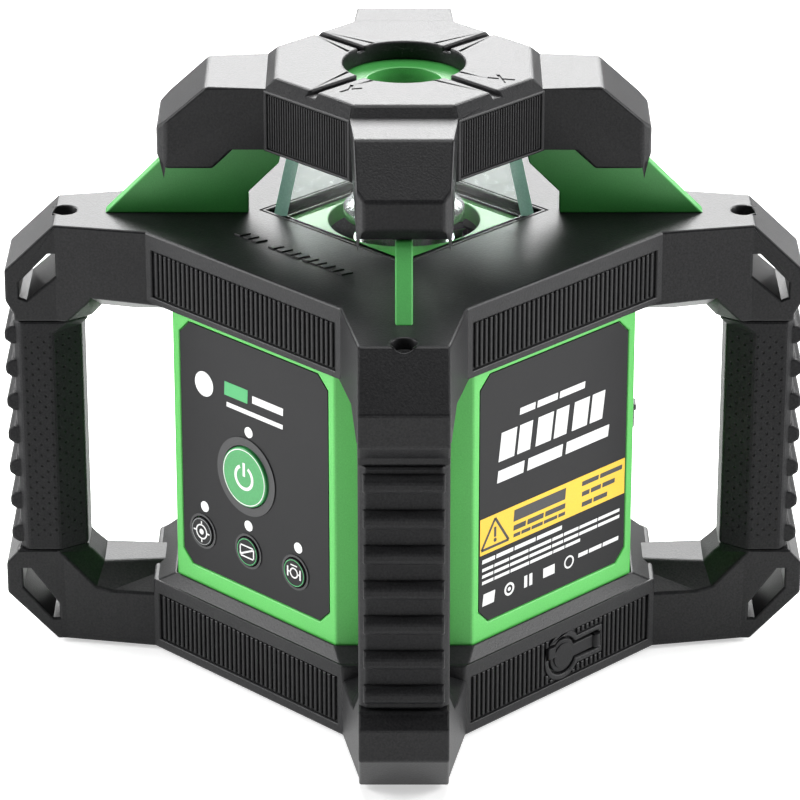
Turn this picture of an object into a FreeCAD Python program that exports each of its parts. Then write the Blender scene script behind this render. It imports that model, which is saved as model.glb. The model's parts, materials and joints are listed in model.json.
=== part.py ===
import FreeCAD, Part
import math
import os
from FreeCAD import Vector

# Rotating laser level: square green housing in a black corner-handle frame, glass tower on top.
# Millimetres, origin at the bottom centre, +Z up, control panel towards -Y, label towards +X.
# Handles stand on the diagonals; a corner part is drawn along +X and turned by 45 + 90 k degrees.

# ---- overall sizes -------------------------------------------------------------------------
FRAME_TOP = 151.0        # top plane of the upper frame
TOWER_HEIGHT = 51.3      # cap top above the frame
FRAME_BOTTOM = 1.2       # underside of the lower frame, the feet stand below it
BEAM_FACE = 73.2         # ribbed beam faces, distance from the axis
BEAM_CORNER = 28.1       # from the end of a ribbed face to the crossing of two face planes
BEAM_HEIGHT = 24.5       # height of the upper beams
LOW_BEAM_TOP = 26.5      # top edge of the lower beams
ARM_LENGTH = 30.0        # tapered part of a handle arm
ARM_HALF = 14.2          # half width of a handle corner
UP_CORNER = 16.7         # from the end of the taper to the outer face, upper corner
LOW_CORNER = 19.6        # the same at the lower corner, drafted outwards
SEAT_GAP = 0.03          # parts that seat in each other and stay together
RUN_GAP = 0.05           # parts that turn or slide in each other
FIT_GAP = 0.3            # housing in frame, overlay in recess

TOWER_TOP = FRAME_TOP + TOWER_HEIGHT
BEAM_HALF = BEAM_FACE - BEAM_CORNER
BEAM_CORNER_R = (BEAM_FACE + BEAM_HALF) / math.sqrt(2)
BEAM_CORNER_HALF = (BEAM_FACE - BEAM_HALF) / math.sqrt(2)
ARM_TAPER_R = BEAM_CORNER_R + ARM_LENGTH
ARM_SLOPE = (BEAM_CORNER_HALF - ARM_HALF) / ARM_LENGTH
UP_OUT_R = ARM_TAPER_R + UP_CORNER
LOW_OUT_R = ARM_TAPER_R + LOW_CORNER

# ---- handle loop ---------------------------------------------------------------------------
GRIP_TOP = FRAME_TOP - 33.7
GRIP_BOTTOM = FRAME_BOTTOM + 33.1
GRIP_IN_R = ARM_TAPER_R - 7.7        # inner face of a grip
GRIP_OUT_R = ARM_TAPER_R + 14.6      # valley radius between the ridges
GRIP_SIDE_R = ARM_TAPER_R + 1.7      # where the inner chamfer meets the side face
GRIP_IN_HALF = 8.0                   # half width of the inner face
RIDGE_COUNT = 7
RIDGE_PITCH = 12.0
RIDGE_HEIGHT = 6.2
RIDGE_PROUD = 3.0
RIDGE_HALF = 12.6
ARM_UNDER = FRAME_TOP - 30.2         # underside of the upper arms
ARM_SIDE_UP = FRAME_TOP - BEAM_HEIGHT
ARM_OVER = FRAME_BOTTOM + 26.3       # top of the lower arms
ARM_SIDE_LOW = FRAME_BOTTOM + 20.3   # upper edge of the side faces of the lower arms
CORNER_CHAMFER = 16.5                # outer chamfer of the handle corners
POST_IN_R = GRIP_IN_R + 1.8
POST_OUT_R = GRIP_IN_R + 15.8
POST_HALF = 8.0
POST_SINK = 4.9                      # how far a post goes into each frame
POST_TOP = GRIP_TOP + POST_SINK
POST_BOTTOM = GRIP_BOTTOM - POST_SINK
SCREW_R = GRIP_IN_R + 5.2            # radius of the frame screws
SCREW_SHANK = 1.5
SCREW_HEAD = 3.4
SCREW_BORE = 4.0
SCREW_SINK = 7.0
FOOT_R = ARM_TAPER_R - 15.7
FOOT_OFF = 9.5

# ---- housing -------------------------------------------------------------------------------
HOUSE_FACE = BEAM_FACE - 4.4
HOUSE_DIAG = HOUSE_FACE + 6.5
HOUSE_WALL = 2.8
HOUSE_BOTTOM = FRAME_BOTTOM + 7.0
HOUSE_TOP = FRAME_TOP - 8.5
PLATE_THICK = 3.0                    # base plate and deck
HOUSE_HALF = HOUSE_DIAG * math.sqrt(2) - HOUSE_FACE
PANEL_BORDER = 3.19                  # green rim beside the key panel and the label
PANEL_HALF = HOUSE_HALF - PANEL_BORDER
PANEL_LOW = 36.0
PANEL_HIGH = FRAME_TOP - 28.4
PANEL_DEEP = 1.2
PANEL_THICK = 1.0
PANEL_CORNER = 4.5
BOARD_LOW = PANEL_LOW + 1.0          # board behind the keys
BOARD_HIGH = PANEL_HIGH - 7.6
MAIN_LOW = PANEL_LOW - 10.0          # board behind the label
MAIN_HIGH = PANEL_HIGH - 18.6

# ---- deck, tower and cap -------------------------------------------------------------------
OPENING_HALF = 31.6                  # square opening in the upper frame
DECK_TOP = FRAME_TOP - 3.0
GROOVE_WIDTH = 0.5                   # fine square grooves round the tower and on the deck
GROOVE_DEEP = 0.4
FRAME_GROOVE = 33.2
DECK_GROOVE = 24.9
ROTOR_HOLE = 24.0
GLASS_OUT = 29.9                     # outer face of a pane at the frame top plane
GLASS_LEAN = 8.6
GLASS_THICK = 3.5
MITRE_GAP = 0.12
FIN_THICK = 5.5
FIN_OUT_R = 97.7
FIN_IN_R = 50.7
SPIDER_HIGH = TOWER_TOP - 6.3
SPIDER_LOW = SPIDER_HIGH - 6.0
SPIDER_HALF = 25.5
SPIDER_BORE = 12.2
GLASS_LOW = DECK_TOP + 1.0
GLASS_HIGH = SPIDER_LOW - 2.0
CAP_LOW = TOWER_TOP - 24.3
CAP_DIAG = 45.0                      # cap face above an arm
CAP_FACE = 44.05                     # ribbed cap face
CAP_CHAMFER = 3.9
CAP_BORE = 19.7
CAP_GROOVE = 3.0
CAP_GROOVE_DEEP = 1.5
CAP_ARM_HALF = 15.6                  # half width of an arm where its top bends down
CAP_ARM_DRAFT = 2.6                  # how much narrower its underside is on each side
CAP_ARM_R = 79.8
CAP_ARM_TOP = TOWER_TOP - 3.2
CAP_ARM_LOW = TOWER_TOP - 31.4
CAP_ARM_STEP = 6.8                   # underside of an arm rises by this towards the cap
CAP_SCREW_AT = 17.5
MARK_WIDTH = 0.9
MARK_DEEP = 0.4

# ---- thread inserts ------------------------------------------------------------------------
THREAD_WALL_R = 7.0                  # minor radius of a 5/8 inch 11 thread
INSERT_R = 11.0
INSERT_LENGTH = 13.0
SIDE_MOUNT_Z = 80.0
SIDE_PLATE = 2.5

# ---- controls ------------------------------------------------------------------------------
POWER_R = 10.3
SMALL_R = 5.0
LED_R = 1.85
WINDOW_R = 4.3
BUTTON_GAP = 0.3
POWER_AT = (-3.6, 76.1)
SMALL_X = (-25.0, -3.15, 19.05)
SMALL_Z = 49.4
LED_AT = ((-2.3, 92.2), (-24.0, 58.6), (-3.0, 58.6), (20.4, 58.6))
WINDOW_AT = (-23.2, 102.9)

# ---- charging port -------------------------------------------------------------------------
PORT_Y = 1.0
PORT_Z = FRAME_BOTTOM + 12.4
PORT_R = 5.8
PORT_GAP = 0.8                       # groove round the cover
PORT_RIM = 2.0                       # smooth rim round the groove
PORT_TAB_END = 17.2
PORT_TAB_HALF = 2.3
SOCKET_R = 4.6
SOCKET_BORE = 2.75

# ---- battery -------------------------------------------------------------------------------
CELL_R = 11.25
CELL_LENGTH = 42.0
CELL_X = CELL_R + 6.35 - HOUSE_FACE
CELL_LOW = PANEL_LOW + 1.6
TRAY_WALL = 1.5
CELL_ROOM = 1.5                      # beside the cells, less behind them
TRAY_HALF = 2 * CELL_R + CELL_ROOM + TRAY_WALL
TRAY_BACK = CELL_X + CELL_R + CELL_ROOM - 0.65 + TRAY_WALL
DOOR_LOW = PANEL_LOW - 1.4
DOOR_HIGH = PANEL_HIGH + 2.2
DOOR_HALF = PANEL_HALF - 2.3
DOOR_THICK = 1.8
DOOR_X = PANEL_DEEP - HOUSE_FACE - DOOR_THICK
HINGE_Y = -DOOR_HALF - 2.0
HINGE_X = -HOUSE_FACE - 1.1
HINGE_R = 1.7
HINGE_LOW = PANEL_LOW + 9.0
HINGE_HIGH = PANEL_HIGH - 7.6
LUG_SPANS = ((HINGE_LOW - 7, HINGE_LOW - 0.3), (HINGE_HIGH + 0.3, HINGE_HIGH + 7))
LATCH_Y = DOOR_HALF - 2.7
LATCH_Z = 79.7
CAM_REACH = 4.5                      # eccentric rubber-tipped catch, turns inside its slot in the wall

# ---- gimbal, laser and rotor ---------------------------------------------------------------
PIVOT_Z = FRAME_TOP - 33.0
PIN_R = 2.0
RING_OUT = 26.0
RING_IN = 21.0
RING_HEIGHT = 8.0
TUBE_R = 12.0
TUBE_BORE = 8.0
TUBE_LOW = 52.0
TUBE_TOP = PIVOT_Z + 8.0
MOTOR_Y = 36.0
MOTOR_R = 8.0
NECK_R = 7.0
NECK_TOP = FRAME_TOP - 8.0
BEARING_R = 11.0
PULLEY_R = 16.0
SMALL_PULLEY_R = 5.0
BELT_Z = PIVOT_Z + 16.5
BELT_GAP = 0.25
DOME_R = 19.2
HEAD_R = 13.0
HEAD_LOW = FRAME_TOP + 6.0
HEAD_GAP = 4.5                       # between the rotor head and the plate above it
HEAD_TOP = SPIDER_LOW - HEAD_GAP
NUT_A_Z = 46.5
NUT_B_Z = 40.5
NUT_HEIGHT = 5.0
NUT_HALF = 12.0
SLOT_GAP = 0.35
DRIVE_OFFSET = 17.0
DRIVE_R = 2.0
SERVO_R = 7.0
DRIVE_PLATE_TOP = 32.0
PLATE_MARGIN = 2.0                   # between that plate and the housing walls


# ---- small helpers -------------------------------------------------------------------------
def box(x0, x1, y0, y1, z0, z1):
    return Part.makeBox(x1 - x0, y1 - y0, z1 - z0, Vector(x0, y0, z0))


def cyl(radius, start, length, axis):
    return Part.makeCylinder(radius, length, Vector(*start), Vector(*axis))


def rod_z(radius, z0, z1, x=0.0, y=0.0):
    return cyl(radius, (x, y, z0), z1 - z0, (0, 0, 1))


def prism(points, z0, z1):
    ring = [Vector(x, y, z0) for x, y in points]
    face = Part.Face(Part.makePolygon(ring + ring[:1]))
    return face.extrude(Vector(0, 0, z1 - z0))


def slab(points, half):
    # profile in the (radius, height) plane, extruded to both sides along Y
    ring = [Vector(r, -half, z) for r, z in points]
    face = Part.Face(Part.makePolygon(ring + ring[:1]))
    return face.extrude(Vector(0, 2 * half, 0))


def turned(shape, degrees):
    copy = shape.copy()
    copy.rotate(Vector(0, 0, 0), Vector(0, 0, 1), degrees)
    return copy


def at_corners(shape):
    return [turned(shape, 45 + 90 * k) for k in range(4)]


def merged(shapes):
    solid = shapes[0].fuse(shapes[1:])
    return solid.removeSplitter()


def group(shapes):
    return Part.makeCompound(shapes)


def octagon(face, diagonal):
    a = diagonal * math.sqrt(2) - face
    quarter = [(face, -a), (face, a)]
    points = []
    for k in range(4):
        c = round(math.cos(k * math.pi / 2))
        s = round(math.sin(k * math.pi / 2))
        points += [(x * c - y * s, x * s + y * c) for x, y in quarter]
    return points


def square(half):
    return [(-half, -half), (half, -half), (half, half), (-half, half)]


def polyhedron(triangles):
    faces = [Part.Face(Part.makePolygon([Vector(*p) for p in tri + tri[:1]])) for tri in triangles]
    return Part.makeSolid(Part.makeShell(faces))


def save(name, shape):
    shape.exportStep("parts/" + name + ".step")


# ---- handle loop ---------------------------------------------------------------------------
def arm_half(radius):
    return ARM_HALF + max(0.0, ARM_TAPER_R - radius) * ARM_SLOPE


def arm_plan(outer):
    root = HOUSE_DIAG + FIT_GAP
    side = [(root, arm_half(root)), (ARM_TAPER_R, ARM_HALF), (outer, ARM_HALF)]
    return [(r, -t) for r, t in side] + [(r, t) for r, t in reversed(side)]


def handle_gap():
    # space between handle and housing, with the long chamfers on the inner edges of the loop
    up_side = ARM_SIDE_UP + GRIP_SIDE_R - 13.4
    up_in = ARM_UNDER + GRIP_IN_R - 6.8
    low_side = GRIP_SIDE_R - 12.1 - ARM_SIDE_LOW
    low_in = GRIP_IN_R - 5.2 - ARM_OVER
    side = [(60.0, ARM_SIDE_UP), (up_side - ARM_SIDE_UP, ARM_SIDE_UP), (GRIP_SIDE_R, up_side - GRIP_SIDE_R),
            (GRIP_SIDE_R, GRIP_SIDE_R - low_side), (low_side + ARM_SIDE_LOW, ARM_SIDE_LOW),
            (60.0, ARM_SIDE_LOW)]
    inner = [(60.0, ARM_UNDER), (up_in - ARM_UNDER, ARM_UNDER), (GRIP_IN_R, up_in - GRIP_IN_R),
             (GRIP_IN_R, GRIP_IN_R - low_in), (low_in + ARM_OVER, ARM_OVER), (60.0, ARM_OVER)]
    gap = slab(inner, 40.0)
    for sign in (1, -1):
        stations = []
        for (rs, zs), (ri, zi) in zip(side, inner):
            ts = arm_half(rs)
            ti = GRIP_IN_HALF
            grow = 0.4
            out = (rs + (rs - ri) * grow, sign * (ts + (ts - ti) * grow), zs + (zs - zi) * grow)
            low = (ri - (rs - ri) * grow, sign * (ti - (ts - ti) * grow), zi - (zs - zi) * grow)
            far = (low[0], out[1], low[2])
            stations.append([out, low, far])
        triangles = [stations[0], list(reversed(stations[-1]))]
        for a, b in zip(stations, stations[1:]):
            for i in range(3):
                j = (i + 1) % 3
                triangles.append([a[i], b[i], b[j]])
                triangles.append([a[i], b[j], a[j]])
        strip = polyhedron(triangles)
        if strip.Volume < 0:
            strip.reverse()
        gap = gap.fuse(strip)
    return gap


def handle_post():
    post = box(POST_IN_R, POST_OUT_R, -POST_HALF, POST_HALF, POST_BOTTOM, POST_TOP)
    bore = rod_z(SCREW_SHANK + SEAT_GAP, POST_BOTTOM - 1, POST_TOP + 1, SCREW_R)
    return post.cut(bore)


def grip(gap):
    plan = [(GRIP_IN_R - 2, -ARM_HALF), (GRIP_OUT_R - 2.5, -ARM_HALF), (GRIP_OUT_R, -ARM_HALF + 2.5),
            (GRIP_OUT_R, ARM_HALF - 2.5), (GRIP_OUT_R - 2.5, ARM_HALF), (GRIP_IN_R - 2, ARM_HALF)]
    body = prism(plan, GRIP_BOTTOM, GRIP_TOP).cut(gap)
    ridges = []
    middle = (GRIP_TOP + GRIP_BOTTOM) / 2
    for k in range(RIDGE_COUNT):
        z = middle + (k - (RIDGE_COUNT - 1) / 2) * RIDGE_PITCH
        low = z - RIDGE_HEIGHT / 2
        high = z + RIDGE_HEIGHT / 2
        profile = [(GRIP_OUT_R - 1, low), (GRIP_OUT_R + 1, low), (GRIP_OUT_R + RIDGE_PROUD, low + 1.5),
                   (GRIP_OUT_R + RIDGE_PROUD, high - 1.5), (GRIP_OUT_R + 1, high), (GRIP_OUT_R - 1, high)]
        ridges.append(slab(profile, RIDGE_HALF))
    body = merged([body] + ridges)
    core = box(POST_IN_R, POST_OUT_R, -POST_HALF, POST_HALF, GRIP_BOTTOM - 1, GRIP_TOP + 1)
    return body.cut(core)


# ---- frames --------------------------------------------------------------------------------
def strap_slot(offsets, radius, height):
    # hexagonal eye for a strap, parallel to the outer chamfer of its corner
    return [(radius + r, height + z) for r, z in offsets]


def square_groove(half, top):
    outer = prism(square(half + GROOVE_WIDTH / 2), top - GROOVE_DEEP, top + 1)
    return outer.cut(prism(square(half - GROOVE_WIDTH / 2), top - 1, top + 2))


def rib_fields(low, high):
    # shallow recess on each beam face for the grip ribs
    half = BEAM_HALF - 2.5
    field = box(BEAM_FACE - 1.0, BEAM_FACE + 1, -half, half, low, high)
    return [turned(field, 90 * k) for k in range(4)]


def upper_frame(gap):
    beams = prism(octagon(BEAM_FACE, BEAM_CORNER_R), ARM_SIDE_UP, FRAME_TOP)
    arm = prism(arm_plan(UP_OUT_R), GRIP_TOP, FRAME_TOP)
    arm = arm.cut(gap)
    bend = FRAME_TOP - CORNER_CHAMFER + 0.7
    outside = [(UP_OUT_R - CORNER_CHAMFER, FRAME_TOP), (UP_OUT_R, bend), (UP_OUT_R + 5, bend),
               (UP_OUT_R + 5, FRAME_TOP + 5), (UP_OUT_R - CORNER_CHAMFER, FRAME_TOP + 5)]
    step = GRIP_TOP + 7.2
    notch = [(UP_OUT_R, step), (GRIP_OUT_R - 0.4, step - 4.5), (GRIP_OUT_R - 0.7, GRIP_TOP - 1),
             (UP_OUT_R + 5, GRIP_TOP - 1), (UP_OUT_R + 5, step)]
    slot = strap_slot([(-4.7, -20.0), (-14.4, -10.0), (-16.8, -10.0), (-16.8, -17.7), (-7.1, -26.2),
                       (-4.7, -25.2)], UP_OUT_R, FRAME_TOP)
    bore = rod_z(SCREW_BORE, FRAME_TOP - SCREW_SINK, FRAME_TOP + 1, SCREW_R)
    shank = rod_z(SCREW_SHANK + SEAT_GAP, GRIP_TOP - 1, FRAME_TOP, SCREW_R)
    socket = box(POST_IN_R, POST_OUT_R, -POST_HALF, POST_HALF, GRIP_TOP - 1, POST_TOP)
    for profile in (outside, notch, slot):
        arm = arm.cut(slab(profile, 40.0))
    arm = arm.cut(bore).cut(shank).cut(socket)
    body = merged([beams] + at_corners(arm))
    seat = octagon(HOUSE_FACE + FIT_GAP, HOUSE_DIAG + FIT_GAP)
    pocket = prism(seat, GRIP_TOP - 5, HOUSE_TOP + PLATE_THICK)
    opening = prism(square(OPENING_HALF), HOUSE_TOP, FRAME_TOP + 1)
    body = body.cut(pocket).cut(opening).cut(square_groove(FRAME_GROOVE, FRAME_TOP))
    for field in rib_fields(FRAME_TOP - 22.0, FRAME_TOP - 5.8):
        body = body.cut(field)
    return body


def port_outline(grow, x0, x1):
    disc = cyl(PORT_R + grow, (x0, PORT_Y, PORT_Z), x1 - x0, (1, 0, 0))
    half = PORT_TAB_HALF + grow
    tab = box(x0, x1, PORT_Y, PORT_TAB_END + grow, PORT_Z - half, PORT_Z + half)
    return disc.fuse(tab).removeSplitter()


def port_ear(grow):
    # finger ear that stands out over the rim of the cover
    low = PORT_Y - PORT_R
    x0 = BEAM_FACE - 1.2 - grow
    x1 = BEAM_FACE + 0.6 + grow
    return box(x0, x1, low - 1.8 - grow, low + 1.5, PORT_Z + 1 - grow, PORT_Z + 5 + grow)


def lower_frame(gap):
    beams = prism(octagon(BEAM_FACE, BEAM_CORNER_R), FRAME_BOTTOM, LOW_BEAM_TOP)
    ledge_low = [Vector(x, y, LOW_BEAM_TOP) for x, y in octagon(BEAM_FACE - 0.6, BEAM_CORNER_R - 1.5)]
    ledge_high = [Vector(x, y, LOW_BEAM_TOP + 3.5) for x, y in octagon(HOUSE_FACE + 0.8, HOUSE_DIAG + 0.9)]
    wires = [Part.makePolygon(w + w[:1]) for w in (ledge_low, ledge_high)]
    ledge = Part.makeLoft(wires, True, True)
    arm = prism(arm_plan(LOW_OUT_R), FRAME_BOTTOM, GRIP_BOTTOM)
    arm = arm.cut(gap)
    foot_r = LOW_OUT_R - CORNER_CHAMFER
    bend = FRAME_BOTTOM + CORNER_CHAMFER + 0.8
    outside = [(foot_r, FRAME_BOTTOM), (LOW_OUT_R, bend), (LOW_OUT_R + 5, bend),
               (LOW_OUT_R + 5, FRAME_BOTTOM - 5), (foot_r, FRAME_BOTTOM - 5)]
    step = GRIP_BOTTOM - 4.8
    notch = [(LOW_OUT_R, step), (GRIP_OUT_R + 1.6, step + 3.8), (GRIP_OUT_R + 0.6, GRIP_BOTTOM + 1),
             (LOW_OUT_R + 5, GRIP_BOTTOM + 1), (LOW_OUT_R + 5, step)]
    slot = strap_slot([(-5.4, 26.1), (-8.0, 26.1), (-17.3, 13.0), (-17.3, 7.8), (-15.0, 7.7), (-5.4, 19.2)],
                      LOW_OUT_R, FRAME_BOTTOM)
    bore = rod_z(SCREW_BORE, FRAME_BOTTOM - 1, FRAME_BOTTOM + SCREW_SINK, SCREW_R)
    shank = rod_z(SCREW_SHANK + SEAT_GAP, FRAME_BOTTOM, GRIP_BOTTOM + 1, SCREW_R)
    socket = box(POST_IN_R, POST_OUT_R, -POST_HALF, POST_HALF, POST_BOTTOM, GRIP_BOTTOM + 1)
    for profile in (outside, notch, slot):
        arm = arm.cut(slab(profile, 40.0))
    arm = arm.cut(bore).cut(shank).cut(socket)
    for t in (-1, 1):
        arm = arm.cut(rod_z(4.0, FRAME_BOTTOM - 1, FRAME_BOTTOM + 1.5, FOOT_R, t * FOOT_OFF))
    body = merged([beams, ledge] + at_corners(arm))
    lip = FRAME_BOTTOM + 4.0
    pocket = prism(octagon(HOUSE_FACE + FIT_GAP, HOUSE_DIAG + FIT_GAP), lip, GRIP_BOTTOM + 5)
    hole = prism(octagon(HOUSE_FACE - 10, HOUSE_DIAG - 10), FRAME_BOTTOM - 1, lip + 1)
    body = body.cut(pocket).cut(hole)
    for field in rib_fields(FRAME_BOTTOM + 3.6, FRAME_BOTTOM + 20.4):
        body = body.cut(field)
    frame_pad = port_outline(PORT_GAP + PORT_RIM, BEAM_FACE - 1.6, BEAM_FACE - 0.2)
    body = merged([body, frame_pad])
    body = body.cut(port_outline(PORT_GAP, BEAM_FACE - 2.2, BEAM_FACE + 2))
    ear = port_ear(0.4)
    body = body.cut(ear)
    body = body.cut(cyl(SOCKET_R + FIT_GAP, (HOUSE_FACE - 2, PORT_Y, PORT_Z), 10, (1, 0, 0)))
    low = PORT_Z - PORT_TAB_HALF - 0.5
    hinge = rod_z(2.0, low, low + 2 * PORT_TAB_HALF + 1.0, BEAM_FACE - 1.0, PORT_TAB_END)
    return body.cut(hinge)


def foot_pad():
    pads = [rod_z(3.8, 0.0, FRAME_BOTTOM + 1.5, FOOT_R, t * FOOT_OFF) for t in (-1, 1)]
    return pads


def frame_screw():
    top = rod_z(SCREW_HEAD, FRAME_TOP - SCREW_SINK, FRAME_TOP - SCREW_SINK + 3.5, SCREW_R)
    shank = rod_z(SCREW_SHANK, GRIP_TOP - 17.3, FRAME_TOP - SCREW_SINK + 1, SCREW_R)
    drive = prism([(SCREW_R + 1.6 * math.cos(a * math.pi / 3), 1.6 * math.sin(a * math.pi / 3))
                   for a in range(6)], FRAME_TOP - SCREW_SINK + 1.5, FRAME_TOP)
    upper = merged([top, shank]).cut(drive)
    head = rod_z(SCREW_HEAD, FRAME_BOTTOM + SCREW_SINK - 3.5, FRAME_BOTTOM + SCREW_SINK, SCREW_R)
    shank = rod_z(SCREW_SHANK, FRAME_BOTTOM + SCREW_SINK - 1, GRIP_BOTTOM + 17.7, SCREW_R)
    drive = prism([(SCREW_R + 1.6 * math.cos(a * math.pi / 3), 1.6 * math.sin(a * math.pi / 3))
                   for a in range(6)], FRAME_BOTTOM, FRAME_BOTTOM + SCREW_SINK - 1.5)
    return [upper, merged([head, shank]).cut(drive)]


# ---- housing, plates and mounts ------------------------------------------------------------
def panel_outline(grow, y0, y1):
    half = PANEL_HALF + grow
    low = PANEL_LOW - grow
    high = PANEL_HIGH + grow
    c = PANEL_CORNER
    points = [(-half + c, low), (half - c, low), (half, low + c), (half, high - c), (half - c, high),
              (-half + c, high), (-half, high - c), (-half, low + c)]
    ring = [Vector(x, y0, z) for x, z in points]
    face = Part.Face(Part.makePolygon(ring + ring[:1]))
    return face.extrude(Vector(0, y1 - y0, 0))


def panel_holes(grow, y0, y1):
    holes = [cyl(POWER_R + grow, (POWER_AT[0], y0, POWER_AT[1]), y1 - y0, (0, 1, 0))]
    holes += [cyl(SMALL_R + grow, (x, y0, SMALL_Z), y1 - y0, (0, 1, 0)) for x in SMALL_X]
    return holes


def lens_holes(grow, y0, y1):
    holes = [cyl(LED_R + grow, (x, y0, z), y1 - y0, (0, 1, 0)) for x, z in LED_AT]
    holes.append(cyl(WINDOW_R + grow, (WINDOW_AT[0], y0, WINDOW_AT[1]), y1 - y0, (0, 1, 0)))
    return holes


def housing_shell():
    outer = prism(octagon(HOUSE_FACE, HOUSE_DIAG), HOUSE_BOTTOM, HOUSE_TOP)
    inner = prism(octagon(HOUSE_FACE - HOUSE_WALL, HOUSE_DIAG - HOUSE_WALL), HOUSE_BOTTOM - 1, HOUSE_TOP + 1)
    body = outer.cut(inner)
    recess = panel_outline(FIT_GAP, -HOUSE_FACE - 1, -HOUSE_FACE + PANEL_DEEP)
    body = body.cut(recess)
    body = body.cut(turned(recess, 90))
    x0 = -HOUSE_FACE - 1
    x1 = -HOUSE_FACE + PANEL_DEEP
    door_recess = box(x0, x1, HINGE_Y - 2.7, DOOR_HALF + 0.8, DOOR_LOW - 0.4, DOOR_HIGH + 0.4)
    body = body.cut(door_recess)
    lug_x = (HINGE_X - 1.7, -HOUSE_FACE + 1.5)
    lugs = [box(*lug_x, HINGE_Y - 2.4, HINGE_Y + 1.6, z0, z1) for z0, z1 in LUG_SPANS]
    lugs.append(rod_z(0.8, HINGE_LOW - 2, HINGE_LOW + 2.7, HINGE_X, HINGE_Y))
    lugs.append(rod_z(0.8, HINGE_HIGH - 2.7, HINGE_HIGH + 2, HINGE_X, HINGE_Y))
    bosses = []
    for z in (BOARD_LOW + 3.0, BOARD_HIGH - 3.0):
        for t in (3.5 - PANEL_HALF, PANEL_HALF - 3.5):
            bosses.append(cyl(3.0, (t, -HOUSE_FACE + 2.0, z), 4.3, (0, 1, 0)))
    for z in (MAIN_LOW + 6.0, MAIN_HIGH - 8.0):
        for t in (8.5 - PANEL_HALF, PANEL_HALF - 8.5):
            bosses.append(cyl(3.0, (HOUSE_FACE - 7.2, t, z), 5.2, (1, 0, 0)))
    side = cyl(18.0, (0, HOUSE_FACE - 9.0, SIDE_MOUNT_Z), 8.0, (0, 1, 0))
    body = merged([body, side] + lugs + bosses)
    for hole in panel_holes(BUTTON_GAP, -HOUSE_FACE, -HOUSE_FACE + 4):
        body = body.cut(hole)
    for hole in lens_holes(SEAT_GAP, -HOUSE_FACE, -HOUSE_FACE + 4):
        body = body.cut(hole)
    half = TRAY_HALF - TRAY_WALL
    window = box(x0, x0 + 5, -half, half, PANEL_LOW + 0.6, PANEL_HIGH + 0.4)
    reach = CAM_REACH + 0.9
    cam = box(x0, x0 + 5, LATCH_Y - 3.3, LATCH_Y + reach, LATCH_Z - 3.3, LATCH_Z + reach)
    port = cyl(SOCKET_R, (HOUSE_FACE - 6, PORT_Y, PORT_Z), 10, (1, 0, 0))
    thread = cyl(INSERT_R + SEAT_GAP, (0, HOUSE_FACE - 12, SIDE_MOUNT_Z), 20, (0, 1, 0))
    return body.cut(window).cut(cam).cut(port).cut(thread)


def side_clip():
    # small retaining clip on the diagonal face towards +X and +Y
    low = SIDE_MOUNT_Z - 6.0
    wedge = [(HOUSE_DIAG, low), (HOUSE_DIAG + 1.3, low + 1.5), (HOUSE_DIAG + 1.3, low + 9.5),
             (HOUSE_DIAG, low + 11.0)]
    lip = box(HOUSE_DIAG, HOUSE_DIAG + 2.0, -3.0, 3.0, low + 6.5, low + 8.5)
    return turned(merged([slab(wedge, 5.0), lip]), 45)


def top_deck():
    plate = prism(octagon(HOUSE_FACE - 0.3, HOUSE_DIAG - 0.3), HOUSE_TOP, HOUSE_TOP + PLATE_THICK)
    boss = prism(square(OPENING_HALF - FIT_GAP), HOUSE_TOP + PLATE_THICK - 0.5, DECK_TOP)
    body = merged([plate, boss]).cut(rod_z(ROTOR_HOLE, HOUSE_TOP - 1, DECK_TOP + 1))
    return body.cut(square_groove(DECK_GROOVE, DECK_TOP))


def base_plate():
    low = FRAME_BOTTOM + 4.0
    plate = prism(octagon(HOUSE_FACE - 0.3, HOUSE_DIAG - 0.3), low, low + PLATE_THICK)
    foot = rod_z(24.0, FRAME_BOTTOM, low + 1)
    boss = rod_z(15.0, low, FRAME_BOTTOM + INSERT_LENGTH + 2)
    seat = rod_z(INSERT_R + SEAT_GAP, FRAME_BOTTOM - 1, FRAME_BOTTOM + INSERT_LENGTH)
    return merged([plate, foot, boss]).cut(seat)


def thread_insert(length):
    return rod_z(INSERT_R, 0, length).cut(rod_z(THREAD_WALL_R, -1, length + 1))


def thread_inserts():
    bottom = thread_insert(INSERT_LENGTH)
    bottom.translate(Vector(0, 0, FRAME_BOTTOM))
    side = thread_insert(INSERT_LENGTH)
    side.rotate(Vector(0, 0, 0), Vector(1, 0, 0), 90)
    side.translate(Vector(0, HOUSE_FACE + SIDE_PLATE, SIDE_MOUNT_Z))
    return group([bottom, side])


def side_mount_plate():
    plate = cyl(20.0, (0, HOUSE_FACE, SIDE_MOUNT_Z), SIDE_PLATE, (0, 1, 0))
    return plate.cut(cyl(INSERT_R + SEAT_GAP, (0, HOUSE_FACE - 1, SIDE_MOUNT_Z), 5, (0, 1, 0)))


# ---- tower ---------------------------------------------------------------------------------
def glass_half(z):
    return GLASS_OUT - (z - FRAME_TOP) * math.tan(math.radians(GLASS_LEAN))


def glass_block(inset):
    wires = []
    for z in (GLASS_LOW, GLASS_HIGH):
        ring = [Vector(x, y, z) for x, y in square(glass_half(z) - inset)]
        wires.append(Part.makePolygon(ring + ring[:1]))
    return Part.makeLoft(wires, True, True)


def glass_panes():
    inset = GLASS_THICK / math.cos(math.radians(GLASS_LEAN))
    shell = glass_block(0.0).cut(glass_block(inset))
    plan = [(MITRE_GAP, 0), (60, 60 - MITRE_GAP), (60, MITRE_GAP - 60)]
    wedge = prism(plan, GLASS_LOW - 1, GLASS_HIGH + 1)
    return [shell.common(turned(wedge, 90 * k)) for k in range(4)]


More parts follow.
